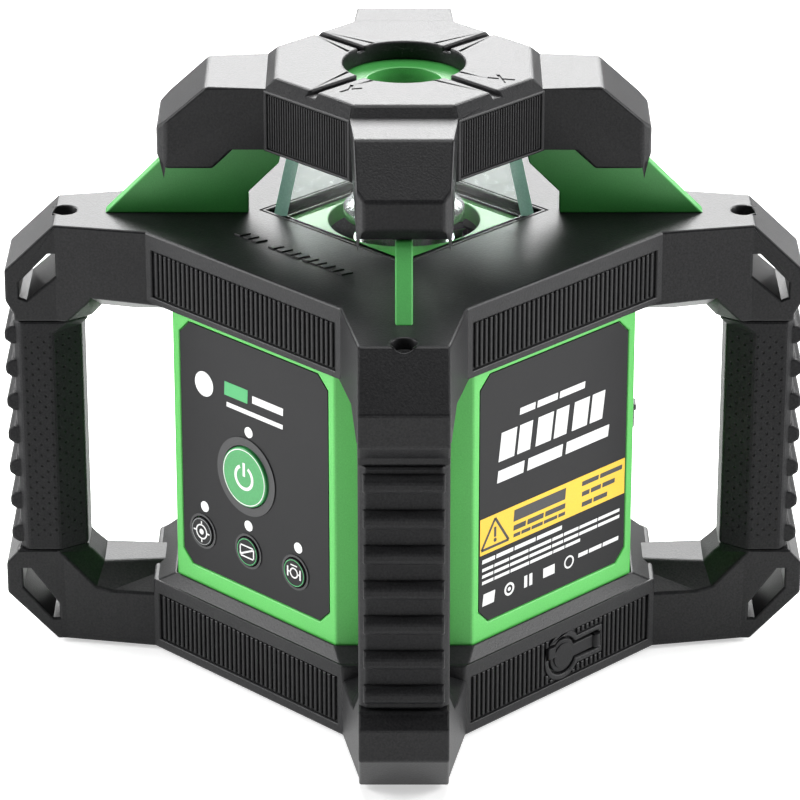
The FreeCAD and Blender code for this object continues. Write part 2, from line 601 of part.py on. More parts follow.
def glass_seals():
    seals = []
    for z0, z1 in ((DECK_TOP, GLASS_LOW), (GLASS_HIGH, SPIDER_LOW)):
        half = glass_half(z1 if z0 == DECK_TOP else z0)
        outer = prism(square(half + 0.2), z0, z1)
        seals.append(outer.cut(prism(square(half - GLASS_THICK), z0 - 1, z1 + 1)))
    return group(seals)


def fin_spider():
    step = CAP_ARM_LOW + CAP_ARM_STEP
    root = CAP_DIAG - 3.3
    lean = FIN_OUT_R - CAP_ARM_LOW + FRAME_TOP
    profile = [(FIN_IN_R, FRAME_TOP), (FIN_OUT_R, FRAME_TOP), (lean, CAP_ARM_LOW),
               (CAP_ARM_R - 18.1, CAP_ARM_LOW), (CAP_ARM_R - 24.8, step), (root, step), (root, SPIDER_HIGH),
               (SPIDER_HALF, SPIDER_HIGH), (SPIDER_HALF, SPIDER_LOW), (CAP_DIAG - 7.5, SPIDER_LOW),
               (CAP_DIAG - 6.4, CAP_LOW),
               (FIN_IN_R - 10.0, FRAME_TOP + 17.3), (FIN_IN_R, FRAME_TOP + 7.3)]
    fin = slab(profile, FIN_THICK / 2)
    plate = prism(square(SPIDER_HALF), SPIDER_LOW, SPIDER_HIGH)
    body = merged([plate] + at_corners(fin)).cut(rod_z(SPIDER_BORE, SPIDER_LOW - 1, SPIDER_HIGH + 1))
    hole = rod_z(1.5 + SEAT_GAP, SPIDER_LOW - 1, SPIDER_HIGH + 1, CAP_SCREW_AT * math.sqrt(2))
    for screw_hole in at_corners(hole):
        body = body.cut(screw_hole)
    return body


def arm_draft():
    # wedge-shaped envelope that narrows an arm of the cap towards its underside
    high = CAP_ARM_HALF + 1.9
    low = high - CAP_ARM_DRAFT
    points = [(-low, CAP_ARM_LOW), (low, CAP_ARM_LOW), (high, CAP_ARM_TOP), (-high, CAP_ARM_TOP)]
    ring = [Vector(CAP_DIAG - 8, y, z) for y, z in points]
    face = Part.Face(Part.makePolygon(ring + ring[:1]))
    return face.extrude(Vector(CAP_ARM_R, 0, 0))


def cap_marks():
    # axis letters sunk into the cap top: X beside the groove towards +X, Y beside the one towards -Y
    strokes = [((29.8, 8.0), (37.4, 12.5)), ((30.2, 12.3), (37.0, 8.2)),
               ((6.4, -30.8), (8.6, -27.4)), ((6.4, -30.8), (4.2, -27.6)), ((6.4, -30.8), (6.2, -34.6))]
    cuts = []
    for (x0, y0), (x1, y1) in strokes:
        length = math.hypot(x1 - x0, y1 - y0)
        stroke = box(0, length, -MARK_WIDTH / 2, MARK_WIDTH / 2, TOWER_TOP - MARK_DEEP, TOWER_TOP + 1)
        stroke = turned(stroke, math.degrees(math.atan2(y1 - y0, x1 - x0)))
        stroke.translate(Vector(x0, y0, 0))
        cuts.append(stroke)
    return cuts


def top_cap():
    body = prism(octagon(CAP_FACE, CAP_DIAG), CAP_LOW, TOWER_TOP)
    for k in range(8):
        face = CAP_DIAG if k % 2 else CAP_FACE
        edge = [(face - CAP_CHAMFER, TOWER_TOP), (face, TOWER_TOP - CAP_CHAMFER), (face + 3, TOWER_TOP),
                (face, TOWER_TOP + 3)]
        body = body.cut(turned(slab(edge, 40.0), 45 * k))
    step = CAP_ARM_LOW + CAP_ARM_STEP
    profile = [(CAP_DIAG - 5, CAP_ARM_TOP), (CAP_ARM_R - 16.3, CAP_ARM_TOP), (CAP_ARM_R, CAP_ARM_TOP - 14.5),
               (CAP_ARM_R, CAP_ARM_LOW + 4.1), (CAP_ARM_R - 3.0, CAP_ARM_LOW),
               (CAP_ARM_R - 18.1, CAP_ARM_LOW), (CAP_ARM_R - 24.8, step), (CAP_DIAG - 5, step)]
    arm = slab(profile, 30.0)
    plan = [(CAP_DIAG - 7, CAP_ARM_HALF + 1.8), (CAP_DIAG + 7, CAP_ARM_HALF + 1.0),
            (CAP_ARM_R - 3, CAP_ARM_HALF - 0.6), (CAP_ARM_R + 1, CAP_ARM_HALF - 4.0)]
    outline = [(r, -t) for r, t in plan] + [(r, t) for r, t in reversed(plan)]
    arm = arm.common(prism(outline, CAP_ARM_LOW - 1, CAP_ARM_TOP + 1)).common(arm_draft())
    body = merged([body] + at_corners(arm))
    cavity = prism(octagon(CAP_FACE - 4.5, CAP_DIAG - 3.0), CAP_ARM_LOW, SPIDER_HIGH)
    body = body.cut(cavity).cut(rod_z(CAP_BORE, SPIDER_HIGH - 1, TOWER_TOP + 1))
    for k in range(4):
        low = TOWER_TOP - CAP_GROOVE_DEEP
        groove = box(CAP_BORE - 1, CAP_FACE + 1, -CAP_GROOVE / 2, CAP_GROOVE / 2, low, TOWER_TOP + 1)
        body = body.cut(turned(groove, 90 * k))
        field = box(CAP_FACE - 0.8, CAP_FACE + 1, -18.3, 18.3, CAP_LOW + 1.0, TOWER_TOP - CAP_CHAMFER - 0.8)
        body = body.cut(turned(field, 90 * k))
        blind = rod_z(1.5 + SEAT_GAP, SPIDER_HIGH - 1, SPIDER_HIGH + 4.3, CAP_SCREW_AT * math.sqrt(2))
        body = body.cut(turned(blind, 45 + 90 * k))
    for stroke in cap_marks():
        body = body.cut(stroke)
    return body


def cap_screw():
    head = rod_z(2.6, SPIDER_LOW - 3, SPIDER_LOW, CAP_SCREW_AT * math.sqrt(2))
    shank = rod_z(1.5, SPIDER_LOW - 1, SPIDER_HIGH + 4, CAP_SCREW_AT * math.sqrt(2))
    return merged([head, shank])


# ---- panels, boards, buttons and port ------------------------------------------------------
def control_overlay():
    plate = panel_outline(0.0, -HOUSE_FACE + PANEL_DEEP - PANEL_THICK, -HOUSE_FACE + PANEL_DEEP)
    holes = panel_holes(BUTTON_GAP, -HOUSE_FACE - 1, -HOUSE_FACE + 4)
    holes += lens_holes(SEAT_GAP, -HOUSE_FACE - 1, -HOUSE_FACE + 4)
    for hole in holes:
        plate = plate.cut(hole)
    return plate


def button(radius, x, z, proud):
    face = cyl(radius, (x, -HOUSE_FACE - proud, z), proud + HOUSE_WALL, (0, 1, 0))
    flange = cyl(radius + 1.2, (x, -HOUSE_FACE + HOUSE_WALL, z), 1.2, (0, 1, 0))
    stem = cyl(1.5, (x, -HOUSE_FACE + HOUSE_WALL, z), 2.2, (0, 1, 0))
    return merged([face, flange, stem])


def panel_board():
    half = PANEL_HALF - 0.5
    board = box(-half, half, -HOUSE_FACE + 6.3, -HOUSE_FACE + 7.9, BOARD_LOW, BOARD_HIGH)
    switches = []
    for x, z in [POWER_AT] + [(x, SMALL_Z) for x in SMALL_X]:
        switches.append(box(x - 3, x + 3, -HOUSE_FACE + 6.1, -HOUSE_FACE + 6.5, z - 3, z + 3))
    return merged([board] + switches)


def label_plate():
    return turned(panel_outline(0.0, -HOUSE_FACE + PANEL_DEEP - PANEL_THICK, -HOUSE_FACE + PANEL_DEEP), 90)


def main_board():
    x = HOUSE_FACE - 8.8
    half = PANEL_HALF - 3.5
    board = box(x, x + 1.6, -half, half, MAIN_LOW, MAIN_HIGH)
    chips = [box(x - 3.5, x + 0.2, -12.0, 10.0, 60.0, 82.0), box(x - 8.0, x + 0.2, 14.0, 26.0, 40.0, 54.0)]
    return merged([board] + chips)


def charge_socket():
    x = BEAM_FACE - 15.2
    body = cyl(SOCKET_R - SEAT_GAP, (x, PORT_Y, PORT_Z), 12.8, (1, 0, 0))
    bore = cyl(SOCKET_BORE, (x + 2, PORT_Y, PORT_Z), 20, (1, 0, 0))
    pin = cyl(1.0, (x + 1, PORT_Y, PORT_Z), 9.0, (1, 0, 0))
    return merged([body.cut(bore), pin])


def port_cover():
    plate = port_outline(0.0, BEAM_FACE - 2.2, BEAM_FACE - 0.4)
    ear = port_ear(0.0)
    plug = cyl(SOCKET_BORE - 0.25, (BEAM_FACE - 4.2, PORT_Y, PORT_Z), 3.0, (1, 0, 0))
    plug = plug.cut(cyl(1.4, (BEAM_FACE - 5.0, PORT_Y, PORT_Z), 2.8, (1, 0, 0)))
    barrel = rod_z(1.8, PORT_Z - PORT_TAB_HALF, PORT_Z + PORT_TAB_HALF, BEAM_FACE - 1.0, PORT_TAB_END)
    dome = cyl(PORT_R - 1.5, (BEAM_FACE - 1.0, PORT_Y, PORT_Z), 1.0, (1, 0, 0))
    return merged([plate, ear, plug, barrel, dome])


# ---- battery bay ---------------------------------------------------------------------------
def battery_tray():
    low = PANEL_LOW - 1.0
    high = PANEL_HIGH + 1.8
    outer = box(-HOUSE_FACE + HOUSE_WALL, TRAY_BACK, -TRAY_HALF, TRAY_HALF, low, high)
    half = TRAY_HALF - TRAY_WALL
    inner = box(-HOUSE_FACE, TRAY_BACK - TRAY_WALL, -half, half, low + TRAY_WALL, high - TRAY_WALL)
    return outer.cut(inner)


def battery_cells():
    cells = []
    for t in (-1, 1):
        for k in range(2):
            low = CELL_LOW + k * (CELL_LENGTH + 0.5)
            can = rod_z(CELL_R, low, low + CELL_LENGTH - 1, CELL_X, t * (CELL_R + 0.2))
            tip = rod_z(3.0, low + CELL_LENGTH - 2, low + CELL_LENGTH, CELL_X, t * (CELL_R + 0.2))
            cells.append(merged([can, tip]))
    return group(cells)


def battery_door():
    plate = box(DOOR_X, DOOR_X + DOOR_THICK, HINGE_Y + 2.6, DOOR_HALF, DOOR_LOW, DOOR_HIGH)
    barrel = rod_z(HINGE_R, HINGE_LOW, HINGE_HIGH, HINGE_X, HINGE_Y)
    strap = box(HINGE_X - 0.9, HINGE_X + 0.9, HINGE_Y, HINGE_Y + 3.6, HINGE_LOW, HINGE_HIGH)
    body = merged([plate, barrel, strap])
    body = body.cut(rod_z(0.8 + RUN_GAP, HINGE_LOW - 1, HINGE_LOW + 3.5, HINGE_X, HINGE_Y))
    body = body.cut(rod_z(0.8 + RUN_GAP, HINGE_HIGH - 3.5, HINGE_HIGH + 1, HINGE_X, HINGE_Y))
    for z0, z1 in LUG_SPANS:
        body = body.cut(box(DOOR_X - 1, DOOR_X + 3, HINGE_Y + 1, HINGE_Y + 3.8, z0 - 0.5, z1 + 0.3))
    return body.cut(cyl(2.2 + RUN_GAP, (DOOR_X - 5, LATCH_Y, LATCH_Z), 10, (1, 0, 0)))


def door_latch():
    x0 = DOOR_X
    disc = cyl(2.7, (x0 - 1.4, LATCH_Y, LATCH_Z), 1.3, (1, 0, 0))
    key = box(x0 - 2.4, x0 - 1.2, LATCH_Y - 2.2, LATCH_Y + 2.2, LATCH_Z - 0.8, LATCH_Z + 0.8)
    stem = cyl(2.2, (x0 - 0.4, LATCH_Y, LATCH_Z), 5.8, (1, 0, 0))
    cam = box(-HOUSE_FACE + HOUSE_WALL - 1.5, -HOUSE_FACE + HOUSE_WALL + 1.5, LATCH_Y - 2.0,
              LATCH_Y + CAM_REACH, LATCH_Z - 2.0, LATCH_Z + 2.0)
    return merged([disc, key, stem, cam])


# ---- gimbal --------------------------------------------------------------------------------
def gimbal_bracket():
    legs = []
    for k in range(2):
        leg = box(RING_OUT + 3, RING_OUT + 8, -7.0, 7.0, PIVOT_Z - 6, HOUSE_TOP)
        foot = box(RING_OUT + 7, RING_OUT + 20, -10.0, 10.0, HOUSE_TOP - 3.0, HOUSE_TOP)
        arm = merged([leg, foot]).cut(cyl(PIN_R + SEAT_GAP, (RING_OUT, 0, PIVOT_Z), 20, (1, 0, 0)))
        legs.append(turned(arm, 180 * k))
    return group(legs)


def gimbal_ring():
    low = PIVOT_Z - RING_HEIGHT / 2
    ring = rod_z(RING_OUT, low, low + RING_HEIGHT).cut(rod_z(RING_IN, low - 1, low + RING_HEIGHT + 1))
    for axis in ((1, 0, 0), (-1, 0, 0)):
        ring = ring.cut(cyl(PIN_R + RUN_GAP, (0, 0, PIVOT_Z), 40, axis))
    for axis in ((0, 1, 0), (0, -1, 0)):
        ring = ring.cut(cyl(PIN_R + SEAT_GAP, (0, 0, PIVOT_Z), 40, axis))
    return ring


def pivot_pins(direction, start, end):
    x, y = direction
    span = end - start
    pins = [cyl(PIN_R, (s * x * start, s * y * start, PIVOT_Z), span, (s * x, s * y, 0)) for s in (1, -1)]
    return group(pins)


def laser_tube():
    body = rod_z(TUBE_R, TUBE_LOW, TUBE_TOP)
    trunnions = [cyl(5.0, (0, 0, PIVOT_Z), RING_IN - 1.5, axis) for axis in ((0, 1, 0), (0, -1, 0))]
    plate = rod_z(17.0, TUBE_TOP - 1, TUBE_TOP + 3)
    arm = box(-9.0, 9.0, 0, MOTOR_Y, TUBE_TOP, TUBE_TOP + 3)
    end = rod_z(9.0, TUBE_TOP, TUBE_TOP + 3, 0, MOTOR_Y)
    neck = rod_z(NECK_R, TUBE_TOP + 2, NECK_TOP)
    pin = rod_z(PIN_R, NUT_B_Z - 5.0, TUBE_LOW + 2)
    body = merged([body, plate, arm, end, neck, pin] + trunnions)
    body = body.cut(rod_z(TUBE_BORE, TUBE_LOW + 4, TUBE_TOP)).cut(rod_z(3.0, TUBE_TOP - 1, NECK_TOP + 1))
    body = body.cut(rod_z(1.6, TUBE_TOP - 1, TUBE_TOP + 4, 0, MOTOR_Y))
    for axis in (1, -1):
        body = body.cut(cyl(PIN_R + RUN_GAP, (0, axis * 14.0, PIVOT_Z), 10, (0, axis, 0)))
    return body


def tilt_sensor():
    block = box(-22.0, -9.0, -7.0, 7.0, 82.0, 98.0)
    return block.cut(rod_z(TUBE_R + SEAT_GAP, 80.0, 100.0))


def laser_module():
    can = rod_z(TUBE_BORE - SEAT_GAP, TUBE_LOW + 4, 78.0).cut(rod_z(2.5, 70.0, 79.0))
    return can


def rotor_bearing():
    low = TUBE_TOP + 3
    ring = rod_z(BEARING_R, low + 2.2, low + 9.2).cut(rod_z(NECK_R + SEAT_GAP, low, low + 10))
    spacer = rod_z(NECK_R + 1.5, low, low + 3).cut(rod_z(NECK_R + SEAT_GAP, low - 1, low + 4))
    return merged([ring, spacer])


def rotor_motor():
    can = rod_z(MOTOR_R, TUBE_TOP - 24, TUBE_TOP, 0, MOTOR_Y)
    shaft = rod_z(1.5, TUBE_TOP - 1, BELT_Z + 3, 0, MOTOR_Y)
    return merged([can, shaft])


def motor_pulley():
    wheel = rod_z(SMALL_PULLEY_R, BELT_Z - 1.4, BELT_Z + 1.4, 0, MOTOR_Y)
    low = rod_z(SMALL_PULLEY_R + 1.5, BELT_Z - 2.6, BELT_Z - 1.4, 0, MOTOR_Y)
    high = rod_z(SMALL_PULLEY_R + 1.5, BELT_Z + 1.4, BELT_Z + 2.2, 0, MOTOR_Y)
    wheel = merged([wheel, low, high])
    return wheel.cut(rod_z(1.5 + RUN_GAP, BELT_Z - 4, BELT_Z + 4, 0, MOTOR_Y))


def belt_loop(grow):
    big = PULLEY_R + grow
    small = SMALL_PULLEY_R + grow
    tilt = math.asin((big - small) / MOTOR_Y)
    c = math.cos(tilt)
    s = math.sin(tilt)
    sides = [(big * c, big * s), (small * c, MOTOR_Y + small * s), (-small * c, MOTOR_Y + small * s),
             (-big * c, big * s)]
    run = prism(sides, BELT_Z - 1.1, BELT_Z + 1.1)
    wheels = [rod_z(big, BELT_Z - 1.1, BELT_Z + 1.1), rod_z(small, BELT_Z - 1.1, BELT_Z + 1.1, 0, MOTOR_Y)]
    return merged([run] + wheels)


def rotor_base():
    top = FRAME_TOP
    skirt = rod_z(PULLEY_R, BELT_Z - 3.0, top - 9)
    rim = PULLEY_R + 1.5
    rims = [rod_z(rim, BELT_Z - 3.0, BELT_Z - 1.6), rod_z(rim, BELT_Z + 1.6, BELT_Z + 3.0)]
    neck = rod_z(14.0, top - 10, top)
    flare = Part.makeCone(14.0, DOME_R, 2.5, Vector(0, 0, top - 3.5))
    dome = rod_z(DOME_R, top - 1, top + 2)
    crown = Part.makeCone(DOME_R, HEAD_R, 4.0, Vector(0, 0, top + 2))
    body = merged([skirt, neck, flare, dome, crown] + rims)
    body = body.cut(rod_z(BEARING_R + RUN_GAP, BELT_Z - 4, BELT_Z + 4.1))
    body = body.cut(rod_z(NECK_R + 0.5, BELT_Z + 3, NECK_TOP + 0.8))
    return body.cut(rod_z(3.5, NECK_TOP, HEAD_LOW + 1))


def rotor_head():
    can = rod_z(HEAD_R, HEAD_LOW, HEAD_TOP).cut(rod_z(HEAD_R - 2.0, HEAD_LOW + 2, HEAD_TOP - 2))
    port = box(-6.5, 6.5, -HEAD_R - 1, 0, HEAD_LOW + 5, HEAD_TOP - 7)
    beam_holes = [rod_z(3.5, HEAD_LOW - 1, HEAD_LOW + 3), rod_z(3.0, HEAD_TOP - 3, HEAD_TOP + 1)]
    return can.cut(port).cut(group(beam_holes))


def pentaprism():
    corners = [(-7.0, 0.0), (7.0, 0.0), (7.0, 11.0), (3.0, 14.5), (-7.0, 11.0)]
    ring = [Vector(-6.0, y, HEAD_LOW + 2 + z) for y, z in corners]
    return Part.Face(Part.makePolygon(ring + ring[:1])).extrude(Vector(12.0, 0, 0))


# ---- level drives --------------------------------------------------------------------------
def actuator_plate():
    top = DRIVE_PLATE_TOP
    inside = octagon(HOUSE_FACE - HOUSE_WALL - PLATE_MARGIN, HOUSE_DIAG - HOUSE_WALL - PLATE_MARGIN)
    plate = box(-26.0, 44.0, -27.0, 44.0, top - 3.0, top).common(prism(inside, top - 4, top + 1))
    legs = [rod_z(4.0, HOUSE_BOTTOM, top - 2, x, y) for x in (-20.0, 38.0) for y in (-21.0, 38.0)]
    servo_a = box(DRIVE_OFFSET - 9, DRIVE_OFFSET + 9, 24.0, 38.0, top - 1, NUT_A_Z)
    servo_b = box(24.0, 38.0, -DRIVE_OFFSET - 9, -DRIVE_OFFSET + 9, top - 1, NUT_B_Z)
    end_a = box(DRIVE_OFFSET - 4, DRIVE_OFFSET + 4, -25.0, -21.5, top - 1, NUT_A_Z + 4)
    end_b = box(-25.0, -21.5, -DRIVE_OFFSET - 4, -DRIVE_OFFSET + 4, top - 1, NUT_B_Z + 4)
    body = merged([plate, servo_a, servo_b, end_a, end_b] + legs)
    body = body.cut(cyl(SERVO_R + SEAT_GAP, (DRIVE_OFFSET, 22.0, NUT_A_Z), 20, (0, 1, 0)))
    body = body.cut(cyl(SERVO_R + SEAT_GAP, (22.0, -DRIVE_OFFSET, NUT_B_Z), 20, (1, 0, 0)))
    body = body.cut(cyl(DRIVE_R + RUN_GAP, (DRIVE_OFFSET, -24.0, NUT_A_Z), 6, (0, 1, 0)))
    return body.cut(cyl(DRIVE_R + RUN_GAP, (-24.0, -DRIVE_OFFSET, NUT_B_Z), 6, (1, 0, 0)))


def servo_motor():
    can = cyl(SERVO_R, (22.5, 0, 0), 18.0, (1, 0, 0))
    return can.cut(cyl(DRIVE_R + RUN_GAP, (21.0, 0, 0), 3.5, (1, 0, 0)))


def lead_screw():
    rod = cyl(DRIVE_R, (-23.5, 0, 0), 47.0, (1, 0, 0))
    collar = cyl(DRIVE_R + 1.2, (19.5, 0, 0), 2.0, (1, 0, 0))
    return merged([rod, collar])


def drive_nut():
    # slot runs along Y here, the nut travels along X on its lead screw
    body = box(-5.0, 5.0, -NUT_HALF, NUT_HALF, -NUT_HEIGHT / 2, NUT_HEIGHT / 2)
    lug = box(-5.0, 5.0, -DRIVE_OFFSET - 4.2, -NUT_HALF + 1, -NUT_HEIGHT / 2, NUT_HEIGHT / 2)
    slot_half = PIN_R + SLOT_GAP
    slot = box(-slot_half, slot_half, -NUT_HALF + 2.0, NUT_HALF - 2.0, -5, 5)
    body = merged([body, lug]).cut(slot)
    return body.cut(cyl(DRIVE_R + RUN_GAP, (-10, -DRIVE_OFFSET, 0), 20, (1, 0, 0)))


def placed_b(shape, offset):
    copy = shape.copy()
    copy.translate(Vector(0, offset, NUT_B_Z))
    return copy


def placed_a(shape, offset):
    # quarter turn: X becomes Y, the drive side moves to +X
    copy = turned(shape, 90)
    copy.translate(Vector(offset, 0, NUT_A_Z))
    return copy


# ---- build ---------------------------------------------------------------------------------
os.makedirs("parts", exist_ok=True)
GAP = handle_gap()
GRIP = grip(GAP)
save("upper_frame", upper_frame(GAP))
save("lower_frame", lower_frame(GAP))
save("handle_posts", group(at_corners(handle_post())))
for corner, angle in (("back_right", 45), ("back_left", 135), ("front_left", 225), ("front_right", 315)):
    save("grip_" + corner, turned(GRIP, angle))
pads = []
screws = []
caps = []
for k in range(4):
    pads += [turned(p, 45 + 90 * k) for p in foot_pad()]
    screws += [turned(s, 45 + 90 * k) for s in frame_screw()]
    caps.append(turned(cap_screw(), 45 + 90 * k))
save("foot_pads", group(pads))
save("frame_screws", group(screws))
save("cap_screws", group(caps))
save("housing_shell", housing_shell())
save("side_clip", side_clip())
save("top_deck", top_deck())
save("base_plate", base_plate())
save("thread_inserts", thread_inserts())
save("side_mount_plate", side_mount_plate())
for pane, side in zip(glass_panes(), ("right", "back", "left", "front")):
    save("glass_" + side, pane)
save("glass_seals", glass_seals())
save("fin_spider", fin_spider())
save("top_cap", top_cap())
save("control_overlay", control_overlay())
save("panel_lenses", group(lens_holes(0.0, -HOUSE_FACE + 0.1, -HOUSE_FACE + HOUSE_WALL)))
save("panel_board", panel_board())
save("power_button", button(POWER_R, POWER_AT[0], POWER_AT[1], 1.0))
for name, x in zip(("scan_button", "slope_button", "mode_button"), SMALL_X):
    save(name, button(SMALL_R, x, SMALL_Z, 0.6))
save("label_plate", label_plate())
save("main_board", main_board())
save("charge_socket", charge_socket())
save("port_cover", port_cover())
save("battery_tray", battery_tray())
save("battery_cells", battery_cells())
save("battery_door", battery_door())
save("door_latch", door_latch())
save("gimbal_bracket", gimbal_bracket())
save("outer_pivot_pins", pivot_pins((1, 0), RING_IN + 1.0, 34.0))
save("gimbal_ring", gimbal_ring())
save("inner_pivot_pins", pivot_pins((0, 1), 15.0, RING_OUT - 0.5))
save("laser_tube", laser_tube())
save("tilt_sensor", tilt_sensor())
save("laser_module", laser_module())
save("collimator_lens", rod_z(TUBE_BORE - SEAT_GAP, 96.0, 99.0))
save("rotor_bearing", rotor_bearing())
save("rotor_motor", rotor_motor())
save("motor_pulley", motor_pulley())
save("drive_belt", belt_loop(BELT_GAP + 1.0).cut(belt_loop(BELT_GAP)))
save("rotor_base", rotor_base())
save("rotor_head", rotor_head())
save("pentaprism", pentaprism())
save("actuator_plate", actuator_plate())
save("servo_motor_x", placed_a(servo_motor(), DRIVE_OFFSET))
save("servo_motor_y", placed_b(servo_motor(), -DRIVE_OFFSET))
save("lead_screw_x", placed_a(lead_screw(), DRIVE_OFFSET))
save("lead_screw_y", placed_b(lead_screw(), -DRIVE_OFFSET))
save("drive_nut_x", placed_a(drive_nut(), 0.0))
save("drive_nut_y", placed_b(drive_nut(), 0.0))
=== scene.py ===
import json
import math

import bmesh
import bpy
from mathutils import Matrix, Vector, kdtree


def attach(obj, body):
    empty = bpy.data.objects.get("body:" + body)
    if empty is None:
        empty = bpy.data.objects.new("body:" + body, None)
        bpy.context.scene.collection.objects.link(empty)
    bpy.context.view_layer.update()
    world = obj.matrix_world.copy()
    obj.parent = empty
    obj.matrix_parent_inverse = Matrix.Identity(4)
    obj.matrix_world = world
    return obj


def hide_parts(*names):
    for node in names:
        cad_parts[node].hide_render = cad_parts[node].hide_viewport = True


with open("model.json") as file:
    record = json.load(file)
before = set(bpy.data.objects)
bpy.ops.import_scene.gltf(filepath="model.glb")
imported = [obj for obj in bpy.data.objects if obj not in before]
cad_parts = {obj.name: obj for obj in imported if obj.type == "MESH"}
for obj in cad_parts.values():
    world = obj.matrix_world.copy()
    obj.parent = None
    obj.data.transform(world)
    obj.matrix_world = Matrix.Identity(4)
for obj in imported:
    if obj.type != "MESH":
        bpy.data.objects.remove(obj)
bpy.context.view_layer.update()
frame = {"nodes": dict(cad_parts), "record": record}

# ---- Lower frame --------------------------------------------------------------------------
# The lower half of the protective frame: one injection moulding in black glass-filled nylon
# with a spark-eroded grain, rounded edges and vertical ribs on its four beams.
MM = 0.001
BEAM_FACE = 73.0
RIB_PITCH = 2.14
RIB_WIDTH = 1.2
RIB_DEPTH = 0.8
RIB_REACH = 41.7
LOWER_RIBS = (5.3, 21.1)
PORT_AT = (1.0, 13.6)
PORT_PAD = 9.0
PORT_TAB = (20.8, 5.6)
CORNER_TURN = math.radians(22)   # faces that meet more sharply than this share a corner
CURVE_TURN = 0.012               # and more softly than this are one plane
MERGE = 0.002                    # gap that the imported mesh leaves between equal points
ROOM_SHARE = 0.42                # part of the room beside a corner that its rounding takes
FRAME_ROUND = 0.7


def grained(name, dark, light, rough, grain, size=2200.0, clearcoat=0.0, gloss=0.5):
    # a moulded or printed finish: fine speckle with slow patches of shade, and a matching grain
    mat = bpy.data.materials.new(name)
    mat.use_nodes = True
    nodes = mat.node_tree.nodes
    links = mat.node_tree.links
    shader = nodes["Principled BSDF"]
    shader.inputs["Roughness"].default_value = rough
    shader.inputs["Coat Weight"].default_value = clearcoat
    shader.inputs["Specular IOR Level"].default_value = gloss
    place = nodes.new("ShaderNodeTexCoord")
    speckle = nodes.new("ShaderNodeTexNoise")
    speckle.inputs["Scale"].default_value = size
    speckle.inputs["Detail"].default_value = 3.0
    links.new(place.outputs["Object"], speckle.inputs["Vector"])
    cloud = nodes.new("ShaderNodeTexNoise")
    cloud.inputs["Scale"].default_value = 38.0
    cloud.inputs["Detail"].default_value = 2.0
    links.new(place.outputs["Object"], cloud.inputs["Vector"])
    blend = nodes.new("ShaderNodeMath")
    blend.operation = "MULTIPLY_ADD"
    blend.inputs[1].default_value = 0.3
    links.new(cloud.outputs["Fac"], blend.inputs[0])
    links.new(speckle.outputs["Fac"], blend.inputs[2])
    ramp = nodes.new("ShaderNodeValToRGB")
    ramp.color_ramp.elements[0].position = 0.42
    ramp.color_ramp.elements[0].color = (*dark, 1.0)
    ramp.color_ramp.elements[1].position = 0.88
    ramp.color_ramp.elements[1].color = (*light, 1.0)
    links.new(blend.outputs[0], ramp.inputs["Fac"])
    links.new(ramp.outputs["Color"], shader.inputs["Base Color"])
    bump = nodes.new("ShaderNodeBump")
    bump.inputs["Strength"].default_value = grain
    bump.inputs["Distance"].default_value = 0.00008
    links.new(speckle.outputs["Fac"], bump.inputs["Height"])
    links.new(bump.outputs["Normal"], shader.inputs["Normal"])
    return mat


def body_of_node(node):
    return next(b for b, nodes in frame["record"]["behaviour"]["bodies"].items() if node in nodes)


def corner_samples(corners):
    # points every half millimetre along the corner edges, each with its edge
    points = []
    for edge in corners:
        start, end = (vert.co for vert in edge.verts)
        steps = max(1, int((end - start).length / (0.5 * MM)))
        points += [(start.lerp(end, i / steps), edge) for i in range(steps + 1)]
    tree = kdtree.KDTree(len(points))
    for index, (place, edge) in enumerate(points):
        tree.insert(place, index)
    tree.balance()
    return points, tree


def room_beside(edge, points, tree, reach):
    # distance to the nearest corner that runs beside this one
    start, end = (vert.co for vert in edge.verts)
    along = (end - start).normalized()
    nearest = reach
    for part in (0.15, 0.5, 0.85):
        here = start.lerp(end, part)
        for place, index, distance in tree.find_range(here, reach):
            other = points[index][1]
            if other is edge or set(other.verts) & set(edge.verts) or distance < 1e-7:
                continue
            if abs((place - here).normalized().dot(along)) < 0.7:
                nearest = min(nearest, distance)
    return nearest


def is_curved(face):
    # one facet of a curved surface: narrow, with a neighbour at a small angle
    if face.calc_area() > 3.0 * MM * max(edge.calc_length() for edge in face.edges):
        return False
    angles = [edge.calc_face_angle() for edge in face.edges if edge.is_manifold]
    return any(CURVE_TURN < angle < CORNER_TURN for angle in angles)


